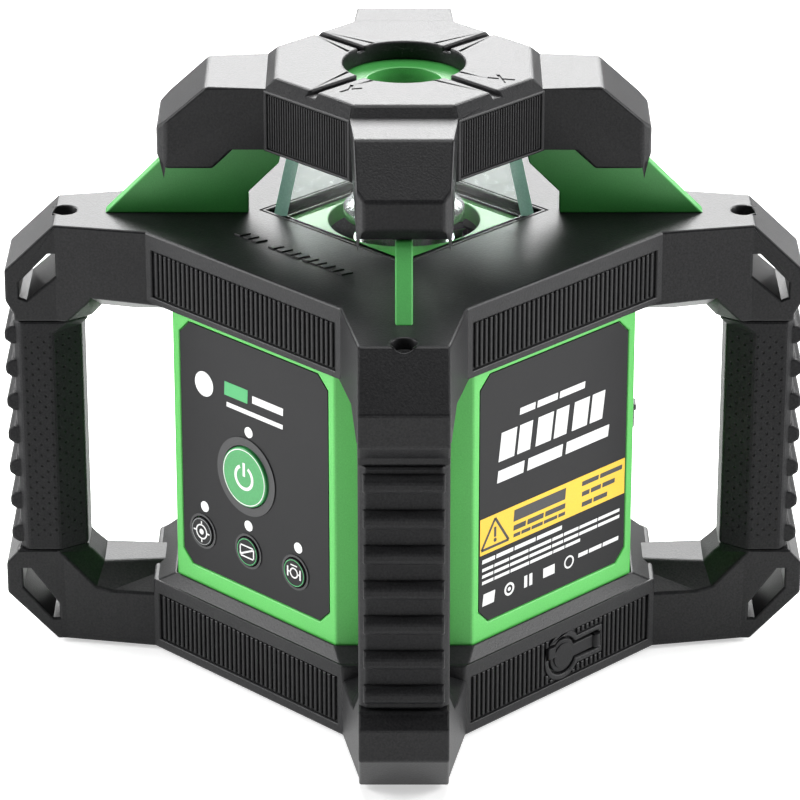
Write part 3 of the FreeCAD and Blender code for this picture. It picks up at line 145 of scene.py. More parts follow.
def rounded_copy(node, name, width, material, segments=2, split=False):
    # the moulding again, with its outer corners rounded as far as there is room for it;
    # split first cuts its many-sided faces into triangles, where steep arms would fold them
    bm = bmesh.new()
    bm.from_mesh(frame["nodes"][node].data)
    bmesh.ops.remove_doubles(bm, verts=bm.verts, dist=MERGE * MM)
    bmesh.ops.dissolve_limit(bm, angle_limit=0.01, verts=bm.verts, edges=bm.edges)
    if split:
        wide = [face for face in bm.faces if len(face.verts) > 4]
        bmesh.ops.triangulate(bm, faces=wide, quad_method="BEAUTY", ngon_method="BEAUTY")
    weight = bm.edges.layers.float.new("bevel_weight_edge")
    edges = [edge for edge in bm.edges if edge.is_manifold]
    corners = [edge for edge in edges if edge.calc_face_angle() > CORNER_TURN]
    points, tree = corner_samples(corners)
    for edge in corners:
        if edge.is_convex:
            room = room_beside(edge, points, tree, width * MM / ROOM_SHARE)
            edge[weight] = min(1.0, ROOM_SHARE * room / (width * MM))
        else:
            edge.smooth = False
    for face in bm.faces:
        face.smooth = is_curved(face)
        face.material_index = 0
    mesh = bpy.data.meshes.new(name)
    bm.to_mesh(mesh)
    bm.free()
    mesh.materials.append(material)
    piece = bpy.data.objects.new(name, mesh)
    bpy.context.scene.collection.objects.link(piece)
    rounding = piece.modifiers.new("rounding", "BEVEL")
    rounding.limit_method = "WEIGHT"
    rounding.width = width * MM
    rounding.segments = segments
    rounding.use_clamp_overlap = False
    rounding.loop_slide = False
    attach(piece, body_of_node(node))
    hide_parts(node)
    return piece


def new_piece(bm, name, body, material, smooth=False):
    # closes a mesh drawn in millimetres and puts it on its body in metres
    bmesh.ops.remove_doubles(bm, verts=bm.verts, dist=0.001)
    bmesh.ops.recalc_face_normals(bm, faces=bm.faces)
    bmesh.ops.scale(bm, vec=(MM, MM, MM), verts=bm.verts)
    for face in bm.faces:
        face.smooth = smooth
    mesh = bpy.data.meshes.new(name)
    bm.to_mesh(mesh)
    bm.free()
    mesh.materials.append(material)
    piece = bpy.data.objects.new(name, mesh)
    bpy.context.scene.collection.objects.link(piece)
    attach(piece, body)
    return piece


def add_block(bm, x, y, z):
    # a block between two values on each axis
    spans = (x, y, z)
    place = Matrix.Translation([(a + b) / 2 for a, b in spans])
    size = Matrix.Diagonal([b - a for a, b in spans] + [1.0])
    return bmesh.ops.create_cube(bm, size=1.0, matrix=place @ size)["verts"]


def rib_places(reach, pitch):
    count = int(2 * reach / pitch)
    return [(i - count / 2) * pitch for i in range(count + 1)]


def rib_row(name, face, depth, width, bars, material, soft=0.25):
    # bars is a list of (side, place along the beam, low, high)
    bm = bmesh.new()
    for side, at, low, high in bars:
        verts = add_block(bm, (face - depth, face), (at - width / 2, at + width / 2), (low, high))
        turn = Matrix.Rotation(side * math.pi / 2, 3, "Z")
        bmesh.ops.rotate(bm, cent=(0, 0, 0), matrix=turn, verts=verts)
    rims = []
    for edge in bm.edges:
        if all(max(abs(v.co.x), abs(v.co.y)) > face - 0.1 for v in edge.verts):
            rims.append(edge)
    bmesh.ops.bevel(bm, geom=rims, offset=soft, offset_type="OFFSET", affect="EDGES", segments=1,
                    profile=0.5, material=-1)
    return new_piece(bm, name, "body", material)


def port_gap(along):
    # half height of the smooth pad round the charging port at one rib
    off = along - PORT_AT[0]
    disc = math.sqrt(max(0.0, PORT_PAD ** 2 - off ** 2))
    tab = PORT_TAB[1] if 0 < off < PORT_TAB[0] - PORT_AT[0] else 0.0
    return max(disc, tab)


black_nylon = grained("black_nylon", (0.005, 0.005, 0.006), (0.018, 0.018, 0.019), 0.38, 0.9, 1500.0,
                      gloss=0.22)
rounded_copy("lower_frame", "lower_frame_moulding", FRAME_ROUND, black_nylon)
lower_bars = []
for side in range(4):
    for along in rib_places(RIB_REACH, RIB_PITCH):
        low, high = LOWER_RIBS
        gap = port_gap(along) if side == 0 else 0.0
        if gap == 0.0:
            lower_bars.append((side, along, low, high))
            continue
        if PORT_AT[1] - gap - low > 1.0:
            lower_bars.append((side, along, low, PORT_AT[1] - gap))
        if high - PORT_AT[1] - gap > 1.0:
            lower_bars.append((side, along, PORT_AT[1] + gap, high))
rib_row("lower_beam_ribs", BEAM_FACE, RIB_DEPTH, RIB_WIDTH, lower_bars, black_nylon)

# ---- Feet ---------------------------------------------------------------------------------
# Eight round rubber feet pressed into blind holes under the handle corners.
# Dull black moulded rubber, a little dusty.


def dress(material, *names):
    # gives parts that keep their machined shape their finish
    for name in names:
        part = frame["nodes"][name]
        part.data.materials.clear()
        part.data.materials.append(material)


foot_rubber = grained("foot_rubber", (0.014, 0.014, 0.014), (0.03, 0.03, 0.031), 0.75, 0.6, 1400.0)
dress(foot_rubber, "foot_pads")

# ---- Base plate and thread inserts --------------------------------------------------------
# A die-cast aluminium plate closes the housing underneath and carries the brass tripod thread.
# The second brass thread sits in a side wall behind a black ring plate.


def machined(name, dark, light, rough, scratch=(900.0, 900.0, 60.0)):
    mat = bpy.data.materials.new(name)
    mat.use_nodes = True
    nodes = mat.node_tree.nodes
    links = mat.node_tree.links
    shader = nodes["Principled BSDF"]
    shader.inputs["Metallic"].default_value = 1.0
    shader.inputs["Roughness"].default_value = rough
    place = nodes.new("ShaderNodeTexCoord")
    stretch = nodes.new("ShaderNodeMapping")
    stretch.inputs["Scale"].default_value = scratch
    links.new(place.outputs["Object"], stretch.inputs["Vector"])
    lines = nodes.new("ShaderNodeTexNoise")
    lines.inputs["Scale"].default_value = 1.0
    lines.inputs["Detail"].default_value = 4.0
    links.new(stretch.outputs["Vector"], lines.inputs["Vector"])
    ramp = nodes.new("ShaderNodeValToRGB")
    ramp.color_ramp.elements[0].position = 0.3
    ramp.color_ramp.elements[0].color = (*dark, 1.0)
    ramp.color_ramp.elements[1].position = 0.7
    ramp.color_ramp.elements[1].color = (*light, 1.0)
    links.new(lines.outputs["Fac"], ramp.inputs["Fac"])
    links.new(ramp.outputs["Color"], shader.inputs["Base Color"])
    bump = nodes.new("ShaderNodeBump")
    bump.inputs["Strength"].default_value = 0.25
    bump.inputs["Distance"].default_value = 0.00003
    links.new(lines.outputs["Fac"], bump.inputs["Height"])
    links.new(bump.outputs["Normal"], shader.inputs["Normal"])
    return mat


CAST_GRAIN = (700.0, 700.0, 700.0)
cast_aluminium = machined("cast_aluminium", (0.45, 0.45, 0.46), (0.66, 0.66, 0.67), 0.42, CAST_GRAIN)
turned_aluminium = machined("turned_aluminium", (0.62, 0.62, 0.63), (0.82, 0.82, 0.83), 0.24)
turned_brass = machined("turned_brass", (0.52, 0.36, 0.12), (0.78, 0.58, 0.24), 0.28)
bright_steel = machined("bright_steel", (0.42, 0.42, 0.43), (0.64, 0.64, 0.65), 0.26)
dress(cast_aluminium, "base_plate")
dress(turned_brass, "thread_inserts")
rounded_copy("side_mount_plate", "side_thread_ring", 0.6, black_nylon)
rounded_copy("side_clip", "side_clip_moulding", 0.3, black_nylon)

# ---- Level drives -------------------------------------------------------------------------
# Two small gear motors turn lead screws whose brass nuts push the foot of the laser tube.
# They stand on a grey glass-filled nylon plate that is bolted to the base.
grey_nylon = grained("grey_nylon", (0.10, 0.10, 0.105), (0.19, 0.19, 0.2), 0.5, 0.3, 1500.0)
dress(grey_nylon, "actuator_plate", "handle_posts")
dress(bright_steel, "servo_motor_x", "servo_motor_y", "lead_screw_x", "lead_screw_y")
dress(turned_brass, "drive_nut_x", "drive_nut_y")

# ---- Boards and charging socket -----------------------------------------------------------
# Green soldermask boards with fine copper tracks: one behind the key panel, one behind the label.
# The round charging socket is soldered to a lead and clipped into the lower beam.


def soldermask(name):
    mat = bpy.data.materials.new(name)
    mat.use_nodes = True
    nodes = mat.node_tree.nodes
    links = mat.node_tree.links
    shader = nodes["Principled BSDF"]
    shader.inputs["Roughness"].default_value = 0.3
    place = nodes.new("ShaderNodeTexCoord")
    tracks = nodes.new("ShaderNodeTexVoronoi")
    tracks.feature = "DISTANCE_TO_EDGE"
    tracks.inputs["Scale"].default_value = 260.0
    links.new(place.outputs["Object"], tracks.inputs["Vector"])
    ramp = nodes.new("ShaderNodeValToRGB")
    ramp.color_ramp.elements[0].position = 0.04
    ramp.color_ramp.elements[0].color = (0.05, 0.26, 0.09, 1.0)
    ramp.color_ramp.elements[1].position = 0.07
    ramp.color_ramp.elements[1].color = (0.012, 0.10, 0.035, 1.0)
    links.new(tracks.outputs["Distance"], ramp.inputs["Fac"])
    links.new(ramp.outputs["Color"], shader.inputs["Base Color"])
    return mat


green_board = soldermask("green_board")
socket_plastic = grained("socket_plastic", (0.02, 0.02, 0.021), (0.04, 0.04, 0.042), 0.35, 0.2)
dress(green_board, "panel_board", "main_board")
dress(socket_plastic, "charge_socket")

# ---- Housing ------------------------------------------------------------------------------
# The square housing between the handles: a bright green satin moulding with narrow diagonal
# faces at its corners and shallow recesses for the key panel, the label and the battery door.
green_satin = grained("green_satin", (0.075, 0.44, 0.075), (0.10, 0.54, 0.098), 0.38, 0.25, 2600.0)
rounded_copy("housing_shell", "housing_moulding", 0.6, green_satin)

# ---- Charging port cover ------------------------------------------------------------------
# A soft black cover over the charging socket: a round lid with a strap to its hinge pin
# and a small ear for the fingertip.
soft_black = grained("soft_black", (0.005, 0.005, 0.006), (0.014, 0.014, 0.015), 0.5, 0.4, 1800.0, gloss=0.2)
rounded_copy("port_cover", "port_cover_lid", 0.35, soft_black)

# ---- Battery bay --------------------------------------------------------------------------
# Four blue-sleeved cells in a grey tray behind a green door on two hinge lugs.
# A steel coin latch holds the door shut.
SLEEVE_FOLD = 0.02125            # height over which the sleeve's pattern runs before it mirrors
SLEEVE_BLUE = 0.0165             # blue up to here, bare metal above


def shrink_sleeve(name):
    mat = bpy.data.materials.new(name)
    mat.use_nodes = True
    nodes = mat.node_tree.nodes
    links = mat.node_tree.links
    shader = nodes["Principled BSDF"]
    shader.inputs["Roughness"].default_value = 0.3
    place = nodes.new("ShaderNodeTexCoord")
    parts = nodes.new("ShaderNodeSeparateXYZ")
    links.new(place.outputs["Object"], parts.inputs["Vector"])
    cell = nodes.new("ShaderNodeMath")
    cell.operation = "PINGPONG"
    cell.inputs[1].default_value = SLEEVE_FOLD
    links.new(parts.outputs["Z"], cell.inputs[0])
    ramp = nodes.new("ShaderNodeValToRGB")
    ramp.color_ramp.interpolation = "CONSTANT"
    ramp.color_ramp.elements[0].position = 0.0
    ramp.color_ramp.elements[0].color = (0.05, 0.08, 0.30, 1.0)
    ramp.color_ramp.elements[1].position = SLEEVE_BLUE
    ramp.color_ramp.elements[1].color = (0.55, 0.56, 0.60, 1.0)
    links.new(cell.outputs[0], ramp.inputs["Fac"])
    links.new(ramp.outputs["Color"], shader.inputs["Base Color"])
    return mat


blue_sleeve = shrink_sleeve("blue_sleeve")
dress(grey_nylon, "battery_tray")
dress(blue_sleeve, "battery_cells")
rounded_copy("battery_door", "battery_door_moulding", 0.5, green_satin)
dress(bright_steel, "door_latch")

# ---- Key panel ----------------------------------------------------------------------------
# A near-black printed film stuck in the front recess, with a raised rim round each key and
# milky windows for the signal lights. The prints are thin layers of ink.
FILM = 68.6
INK = 0.06
POWER_KEY = (-3.6, 76.1)
POWER_RADIUS = 10.3
SMALL_KEYS = (-25.0, -3.15, 19.05)
SMALL_KEY_Z = 49.4
SMALL_RADIUS = 5.0
PANEL_PLANE = Matrix(((1, 0, 0, 0), (0, 0, -1, -FILM), (0, 1, 0, 0), (0, 0, 0, 1)))


def ink_bar(bm, u, v, lift=0.0, lean=0.0, turn=0.0, ink=INK):
    # a printed bar between two values across and two values up
    verts = add_block(bm, u, v, (lift, lift + ink))
    for vert in verts:
        vert.co.x += lean * (vert.co.y - v[0])
    if turn:
        centre = ((u[0] + u[1]) / 2, (v[0] + v[1]) / 2, 0)
        bmesh.ops.rotate(bm, cent=centre, matrix=Matrix.Rotation(turn, 3, "Z"), verts=verts)
    return verts


def ink_disc(bm, at, radius, lift=0.0, ink=INK, sides=40):
    place = Matrix.Translation((at[0], at[1], lift + ink / 2))
    bmesh.ops.create_cone(bm, cap_ends=True, segments=sides, radius1=radius, radius2=radius, depth=ink,
                          matrix=place)


def ink_ring(bm, at, outer, inner, lift=0.0, ink=INK, start=0.0, sweep=2 * math.pi, sides=48):
    # a ring or an arc, spun from its cross-section
    section = [bm.verts.new((at[0] + r, at[1], h))
               for r, h in ((inner, lift), (outer, lift), (outer, lift + ink), (inner, lift + ink))]
    face = bm.faces.new(section)
    whole = abs(sweep - 2 * math.pi) < 0.001
    if start:
        bmesh.ops.rotate(bm, cent=(at[0], at[1], 0), matrix=Matrix.Rotation(start, 3, "Z"), verts=section)
    geometry = section + list(face.edges) + [face]
    bmesh.ops.spin(bm, geom=geometry, cent=(at[0], at[1], 0), axis=(0, 0, 1), angle=sweep, steps=sides,
                   use_merge=whole, use_duplicate=False)
    if whole:
        bmesh.ops.delete(bm, geom=[face], context="FACES_ONLY")


def ink_piece(bm, name, plane, material, body="body"):
    bmesh.ops.transform(bm, matrix=plane, verts=bm.verts)
    return new_piece(bm, name, body, material)


dark_film = grained("dark_film", (0.008, 0.008, 0.009), (0.013, 0.013, 0.014), 0.42, 0.12, 3000.0, gloss=0.2)
dark_rim = grained("dark_rim", (0.012, 0.012, 0.013), (0.022, 0.022, 0.024), 0.35, 0.1, 3000.0)
white_ink = grained("white_ink", (0.70, 0.70, 0.70), (0.80, 0.80, 0.80), 0.4, 0.05, 3000.0)
grey_ink = grained("grey_ink", (0.20, 0.21, 0.21), (0.26, 0.27, 0.27), 0.45, 0.05, 3000.0)
green_ink = grained("green_ink", (0.04, 0.34, 0.11), (0.06, 0.40, 0.13), 0.4, 0.05, 3000.0)
milky = grained("milky_lens", (0.82, 0.84, 0.82), (0.95, 0.96, 0.95), 0.25, 0.05, 900.0, clearcoat=0.3)
key_green = grained("key_green", (0.035, 0.26, 0.075), (0.05, 0.33, 0.095), 0.34, 0.15, 2600.0)
dress(dark_film, "control_overlay")
dress(milky, "panel_lenses")

rims = bmesh.new()
ink_ring(rims, POWER_KEY, POWER_RADIUS + 3.3, POWER_RADIUS + 0.5, 0.0, 0.35, sides=72)
for across in SMALL_KEYS:
    ink_ring(rims, (across, SMALL_KEY_Z), SMALL_RADIUS + 1.2, SMALL_RADIUS + 0.4, 0.0, 0.3)
ink_piece(rims, "key_rims", PANEL_PLANE, dark_rim)

words = bmesh.new()
ink_bar(words, (-0.4, 13.9), (103.1, 105.7), lean=0.05)
ink_bar(words, (-12.6, 13.7), (98.3, 99.9), lean=0.05)
ink_piece(words, "panel_line_prints", PANEL_PLANE, white_ink)
patch = bmesh.new()
ink_bar(patch, (-13.6, -2.7), (102.2, 107.0), lean=0.05)
ink_piece(patch, "panel_green_patch", PANEL_PLANE, green_ink)

# ---- Keys ---------------------------------------------------------------------------------
# A large green power key and three small dark keys, moulded with a flange behind the film.
# Their signs are printed in white and travel with the key.
POWER_PROUD = 1.2
SMALL_PROUD = 0.8


def key_top(proud):
    return PANEL_PLANE @ Matrix.Translation((0, 0, proud))


rounded_copy("power_button", "power_key_cap", 0.45, key_green, 3)
for name in ("scan_button", "slope_button", "mode_button"):
    rounded_copy(name, name + "_cap", 0.3, dark_film, 2)

power_sign = bmesh.new()
ink_ring(power_sign, POWER_KEY, 4.5, 3.4, start=math.radians(118), sweep=math.radians(304), sides=40)
ink_bar(power_sign, (POWER_KEY[0] - 0.55, POWER_KEY[0] + 0.55), (POWER_KEY[1] + 0.4, POWER_KEY[1] + 5.2))
ink_ring(power_sign, POWER_KEY, POWER_RADIUS - 0.5, POWER_RADIUS - 0.8, sides=72)
ink_piece(power_sign, "power_sign", key_top(POWER_PROUD), white_ink, "power_key")

scan_sign = bmesh.new()
at = (SMALL_KEYS[0], SMALL_KEY_Z)
ink_ring(scan_sign, at, 2.7, 2.2)
ink_disc(scan_sign, at, 1.0)
for turn in range(4):
    angle = turn * math.pi / 2
    u = at[0] + 3.3 * math.cos(angle)
    v = at[1] + 3.3 * math.sin(angle)
    ink_bar(scan_sign, (u - 0.5, u + 0.5), (v - 0.25, v + 0.25), turn=angle)
ink_piece(scan_sign, "scan_sign", key_top(SMALL_PROUD), white_ink, "scan_key")

slope_sign = bmesh.new()
at = (SMALL_KEYS[1], SMALL_KEY_Z)
ink_bar(slope_sign, (at[0] - 3.4, at[0] + 3.4), (at[1] - 2.2, at[1] - 1.7))
ink_bar(slope_sign, (at[0] - 3.4, at[0] + 3.4), (at[1] + 1.7, at[1] + 2.2))
ink_bar(slope_sign, (at[0] - 3.1, at[0] + 3.1), (at[1] - 0.3, at[1] + 0.3), turn=0.45)
ink_bar(slope_sign, (at[0] - 3.4, at[0] - 2.9), (at[1] - 2.2, at[1] + 2.2))
ink_bar(slope_sign, (at[0] + 2.9, at[0] + 3.4), (at[1] - 2.2, at[1] + 2.2))
ink_piece(slope_sign, "slope_sign", key_top(SMALL_PROUD), white_ink, "slope_key")

mode_sign = bmesh.new()
at = (SMALL_KEYS[2], SMALL_KEY_Z)
ink_ring(mode_sign, at, 1.9, 1.4)
for side in (-1, 1):
    ink_bar(mode_sign, (at[0] + side * 2.9 - 0.3, at[0] + side * 2.9 + 0.3), (at[1] - 1.8, at[1] + 1.8))
    ink_bar(mode_sign, (at[0] + side * 2.1 - 0.5, at[0] + side * 2.1 + 0.5), (at[1] - 0.25, at[1] + 0.25))
ink_bar(mode_sign, (at[0] - 1.5, at[0] + 1.5), (at[1] + 2.5, at[1] + 2.9))
ink_piece(mode_sign, "mode_sign", key_top(SMALL_PROUD), white_ink, "mode_key")

for name, across, body, ink in zip(("scan_rim", "slope_rim", "mode_rim"), SMALL_KEYS,
                                   ("scan_key", "slope_key", "mode_key"), (grey_ink, green_ink, green_ink)):
    outline = bmesh.new()
    ink_ring(outline, (across, SMALL_KEY_Z), SMALL_RADIUS - 0.35, SMALL_RADIUS - 0.6)
    ink_piece(outline, name, key_top(SMALL_PROUD), ink, body)

# ---- Label --------------------------------------------------------------------------------
# The same dark film in the recess of the right side: a large heading, rows of small print,
# a yellow notice band with a triangle, and a row of small signs. All wording is plain bars.
LABEL_PLANE = Matrix(((0, 0, 1, FILM), (1, 0, 0, 0), (0, 1, 0, 0), (0, 0, 0, 1)))
HEADING = (-26.0, 25.2, 90.8, 100.6)
HEADING_BLOCKS = 6
HEADING_FILL = (0.84, 0.7)       # part of its step that each block fills, in turn
BAND = (-34.2, 34.2, 60.2, 73.0)


def word_row(bm, start, end, low, high, words, lean=0.12, lift=0.0):
    # a line of print: words as short bars with gaps between them
    lengths = [3 + (5 * i) % 4 for i in range(words)]
    gap = (high - low) * 0.45
    unit = (end - start - gap * (words - 1)) / sum(lengths)
    at = start
    for length in lengths:
        ink_bar(bm, (at, at + unit * length), (low, high), lift, lean)
        at += unit * length + gap


dress(dark_film, "label_plate")
prints = bmesh.new()
start, end, low, high = HEADING
step = (end - start) / HEADING_BLOCKS
for block in range(HEADING_BLOCKS):
    left = start + block * step
    wide = step * HEADING_FILL[block % 2]
    ink_bar(prints, (left, left + wide), (low, high), lean=0.14)
word_row(prints, -16.4, 14.0, 104.3, 106.6, 3)
word_row(prints, -26.6, 25.6, 83.5, 87.6, 3, 0.14)
word_row(prints, -33.2, 4.1, 57.0, 58.4, 4)
word_row(prints, -33.2, 32.0, 54.2, 55.3, 8)
word_row(prints, -33.2, 32.0, 51.9, 53.0, 8)
word_row(prints, -33.2, 13.0, 49.6, 50.7, 6)
word_row(prints, 12.3, 31.7, 43.9, 45.3, 3)
ink_bar(prints, (-33.0, -27.6), (41.8, 46.0), lean=0.14)
ink_ring(prints, (-20.4, 43.9), 2.3, 1.5)
ink_disc(prints, (-20.4, 43.9), 0.7)
ink_bar(prints, (-13.4, -12.0), (41.8, 46.0))
ink_bar(prints, (-11.0, -9.6), (41.8, 46.0))
ink_bar(prints, (-4.4, 1.0), (42.2, 45.6))
ink_ring(prints, (7.9, 43.9), 2.3, 1.7)
ink_piece(prints, "label_white_prints", LABEL_PLANE, white_ink)

yellow_ink = grained("yellow_ink", (0.74, 0.44, 0.015), (0.86, 0.56, 0.025), 0.4, 0.05, 3000.0)
band = bmesh.new()
ink_bar(band, BAND[:2], BAND[2:])
ink_piece(band, "label_yellow_band", LABEL_PLANE, yellow_ink)

notice = bmesh.new()
word_row(notice, -18.8, 5.5, 67.4, 71.4, 1, 0.1, INK)
word_row(notice, -18.8, 5.5, 64.2, 66.0, 3, 0.1, INK)
word_row(notice, -18.8, 5.5, 61.8, 63.0, 5, 0.1, INK)
word_row(notice, 13.5, 32.8, 69.4, 71.0, 2, 0.1, INK)
word_row(notice, 13.5, 29.3, 65.7, 67.3, 3, 0.1, INK)
word_row(notice, 13.5, 25.7, 61.9, 63.5, 2, 0.1, INK)
apex = (-27.3, 71.6)
half = 6.3
foot = 61.9
stroke = 0.45
for side in (-1, 1):
    leg = math.atan2(apex[1] - foot, side * half)
    middle = (apex[0] - side * half / 2, (apex[1] + foot) / 2)
    length = math.hypot(half, apex[1] - foot)
    ink_bar(notice, (middle[0] - length / 2, middle[0] + length / 2),
            (middle[1] - stroke, middle[1] + stroke), INK, 0.0, leg)
ink_bar(notice, (apex[0] - half, apex[0] + half), (foot - stroke, foot + stroke), INK)
ink_disc(notice, (apex[0], foot + 2.0), 0.7, INK, sides=20)
ink_bar(notice, (apex[0] - 0.5, apex[0] + 0.5), (foot + 3.1, foot + 6.6), INK)
ink_piece(notice, "label_black_prints", LABEL_PLANE, dark_rim)

# ---- Gimbal and laser ---------------------------------------------------------------------
# The laser tube hangs in a two-axis gimbal under the deck, with its level sensor, laser
# module and lens. Machined aluminium on steel pins, held by a nylon bracket.
dress(grey_nylon, "gimbal_bracket", "tilt_sensor")
dress(turned_aluminium, "gimbal_ring", "laser_tube")
dress(bright_steel, "outer_pivot_pins", "inner_pivot_pins")
dress(turned_brass, "laser_module")

# ---- Rotor --------------------------------------------------------------------------------
# A turned aluminium head with a pentaprism, on a ball bearing round the tube's neck.
# A small motor drives it through a toothed rubber belt.
belt_rubber = grained("belt_rubber", (0.010, 0.010, 0.010), (0.02, 0.02, 0.02), 0.7, 0.5, 2000.0)
dress(bright_steel, "rotor_bearing", "rotor_motor")
dress(socket_plastic, "motor_pulley")
dress(belt_rubber, "drive_belt")
rounded_copy("rotor_base", "rotor_base_turning", 0.3, turned_aluminium)
rounded_copy("rotor_head", "rotor_head_turning", 0.4, turned_aluminium)

# ---- Deck ---------------------------------------------------------------------------------
# A green plate that closes the housing on top; its square middle fills the opening in the
# frame and carries the glass tower.
rounded_copy("top_deck", "top_deck_moulding", 0.5, green_satin)

# ---- Glass tower --------------------------------------------------------------------------
# Four leaning panes of clear glass, mitred at the corners and bonded between black seals.
# The ground edges are grey-green, with a faint painted glow standing in for light carried through the glass.


def clear_glass(name, tint, rough, bend):
    mat = bpy.data.materials.new(name)
    mat.use_nodes = True
    nodes = mat.node_tree.nodes
    links = mat.node_tree.links
    shader = nodes["Principled BSDF"]
    shader.inputs["Transmission Weight"].default_value = 1.0
    shader.inputs["Roughness"].default_value = rough
    shader.inputs["IOR"].default_value = bend
    place = nodes.new("ShaderNodeTexCoord")
    smear = nodes.new("ShaderNodeTexNoise")
    smear.inputs["Scale"].default_value = 60.0
    links.new(place.outputs["Object"], smear.inputs["Vector"])
    ramp = nodes.new("ShaderNodeValToRGB")
    ramp.color_ramp.elements[0].color = (*[c * 0.97 for c in tint], 1.0)
    ramp.color_ramp.elements[1].color = (*tint, 1.0)
    links.new(smear.outputs["Fac"], ramp.inputs["Fac"])
    links.new(ramp.outputs["Color"], shader.inputs["Base Color"])
    return mat


def glass_pane(node, name, across):
    # the pane as cut: flat faces, with the two mitred edges left ground
    bm = bmesh.new()
    bm.from_mesh(frame["nodes"][node].data)
    bmesh.ops.remove_doubles(bm, verts=bm.verts, dist=MERGE * MM)
    bmesh.ops.dissolve_limit(bm, angle_limit=0.01, verts=bm.verts, edges=bm.edges)
    for face in bm.faces:
        face.smooth = False
        face.material_index = 1 if abs(face.normal[across]) > 0.5 else 0
    mesh = bpy.data.meshes.new(name)
    bm.to_mesh(mesh)
    bm.free()
    mesh.materials.append(pane_glass)
    mesh.materials.append(ground_edge_painted_glow)
    piece = bpy.data.objects.new(name, mesh)
    bpy.context.scene.collection.objects.link(piece)
    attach(piece, "body")
    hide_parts(node)


pane_glass = clear_glass("pane_glass", (0.95, 0.99, 0.97), 0.0, 1.18)
ground_edge_painted_glow = grained("ground_edge_painted_glow", (0.42, 0.66, 0.55), (0.55, 0.78, 0.68), 0.3, 0.1, 1500.0)
edge_shader = ground_edge_painted_glow.node_tree.nodes["Principled BSDF"]
# painted glow: a faint grey-green emission on the ground edges stands in for light carried through the glass
# onto them
edge_shader.inputs["Emission Color"].default_value = (0.30, 0.55, 0.45, 1.0)
edge_shader.inputs["Emission Strength"].default_value = 0.25
seal_rubber = grained("seal_rubber", (0.012, 0.012, 0.012), (0.024, 0.024, 0.024), 0.65, 0.4, 1600.0)
for side, across in (("right", 1), ("back", 0), ("left", 1), ("front", 0)):
    glass_pane("glass_" + side, "pane_" + side, across)
dress(seal_rubber, "glass_seals")
dress(clear_glass("lens_glass", (0.96, 0.97, 0.99), 0.01, 1.5), "collimator_lens", "pentaprism")

# ---- Fin spider ---------------------------------------------------------------------------
# Four green fins stand on the frame's diagonals and hold the cap over the glass;
# one moulding with the square plate above the panes.
fin_green = grained("fin_green", (0.050, 0.31, 0.062), (0.070, 0.39, 0.082), 0.38, 0.25, 2600.0)
rounded_copy("fin_spider", "fin_spider_moulding", 0.5, fin_green)

# ---- Cap ----------------------------------------------------------------------------------
# The impact cap: a black moulding with four stepped arms over the fins, a round opening for
# the upward beam, cross grooves and fine ribs on its four sides. Four screws hold it.
CAP_RIBS = (179.3, 197.3)
CAP_RIB_FACE = 43.75
CAP_RIB_REACH = 17.6
CAP_RIB_PITCH = 1.1
CAP_RIB_DEPTH = 0.5
CAP_RIB_WIDTH = 0.65
CAP_RIB_SOFT = 0.15
CAP_ROUND = 0.9
rounded_copy("top_cap", "top_cap_moulding", CAP_ROUND, black_nylon, 3, True)
cap_places = rib_places(CAP_RIB_REACH, CAP_RIB_PITCH)
cap_bars = [(side, along, *CAP_RIBS) for side in range(4) for along in cap_places]
rib_row("cap_ribs", CAP_RIB_FACE, CAP_RIB_DEPTH, CAP_RIB_WIDTH, cap_bars, black_nylon, CAP_RIB_SOFT)
dress(bright_steel, "cap_screws")

# ---- Upper frame --------------------------------------------------------------------------
# The upper half of the protective frame, the same moulding material and ribs as the lower.
# A row of small raised bars stands on its top, above the key panel.
UPPER_RIBS = (129.5, 144.7)
FRAME_TOP = 151.0
STRIP = (-23.0, 28.0, -54.2, -50.4)
STRIP_BARS = 13
STRIP_GAP = 3                    # the place in the row that stays empty
STRIP_FILL = 0.62
STRIP_PROUD = 0.5
STRIP_ROOT = 0.3
STRIP_LEAN = 0.3
rounded_copy("upper_frame", "upper_frame_moulding", FRAME_ROUND, black_nylon)
upper_bars = [(side, along, *UPPER_RIBS) for side in range(4) for along in rib_places(RIB_REACH, RIB_PITCH)]
rib_row("upper_beam_ribs", BEAM_FACE, RIB_DEPTH, RIB_WIDTH, upper_bars, black_nylon)
dress(bright_steel, "frame_screws")
strip = bmesh.new()
step = (STRIP[1] - STRIP[0]) / STRIP_BARS
for bar in range(STRIP_BARS):
    if bar == STRIP_GAP:
        continue
    left = STRIP[0] + bar * step
    height = (FRAME_TOP - STRIP_ROOT, FRAME_TOP + STRIP_PROUD)
    verts = add_block(strip, (left, left + step * STRIP_FILL), STRIP[2:], height)
    for vert in verts:
        vert.co.x += STRIP_LEAN * (vert.co.y - STRIP[2])
bmesh.ops.bevel(strip, geom=[edge for edge in strip.edges if min(v.co.z for v in edge.verts) > FRAME_TOP],
                offset=0.15, offset_type="OFFSET", affect="EDGES", segments=2, profile=0.5, material=-1)
new_piece(strip, "frame_top_bars", "body", black_nylon)

# ---- Grips --------------------------------------------------------------------------------
# Soft black rubber moulded round a nylon post at each corner, with seven finger ridges
# outside and a pattern of small dimples on the sides.
DIMPLE_PITCH = 4.0
DIMPLE_ROW = 1.95
DIMPLE_RADIUS = 0.42
DIMPLE_REACH = 0.1255            # dimples end here, on the way out to the ridges
DIMPLE_MIDDLE = 0.0758           # middle height of the dimpled field
DIMPLE_HALF = 0.0362             # half its height


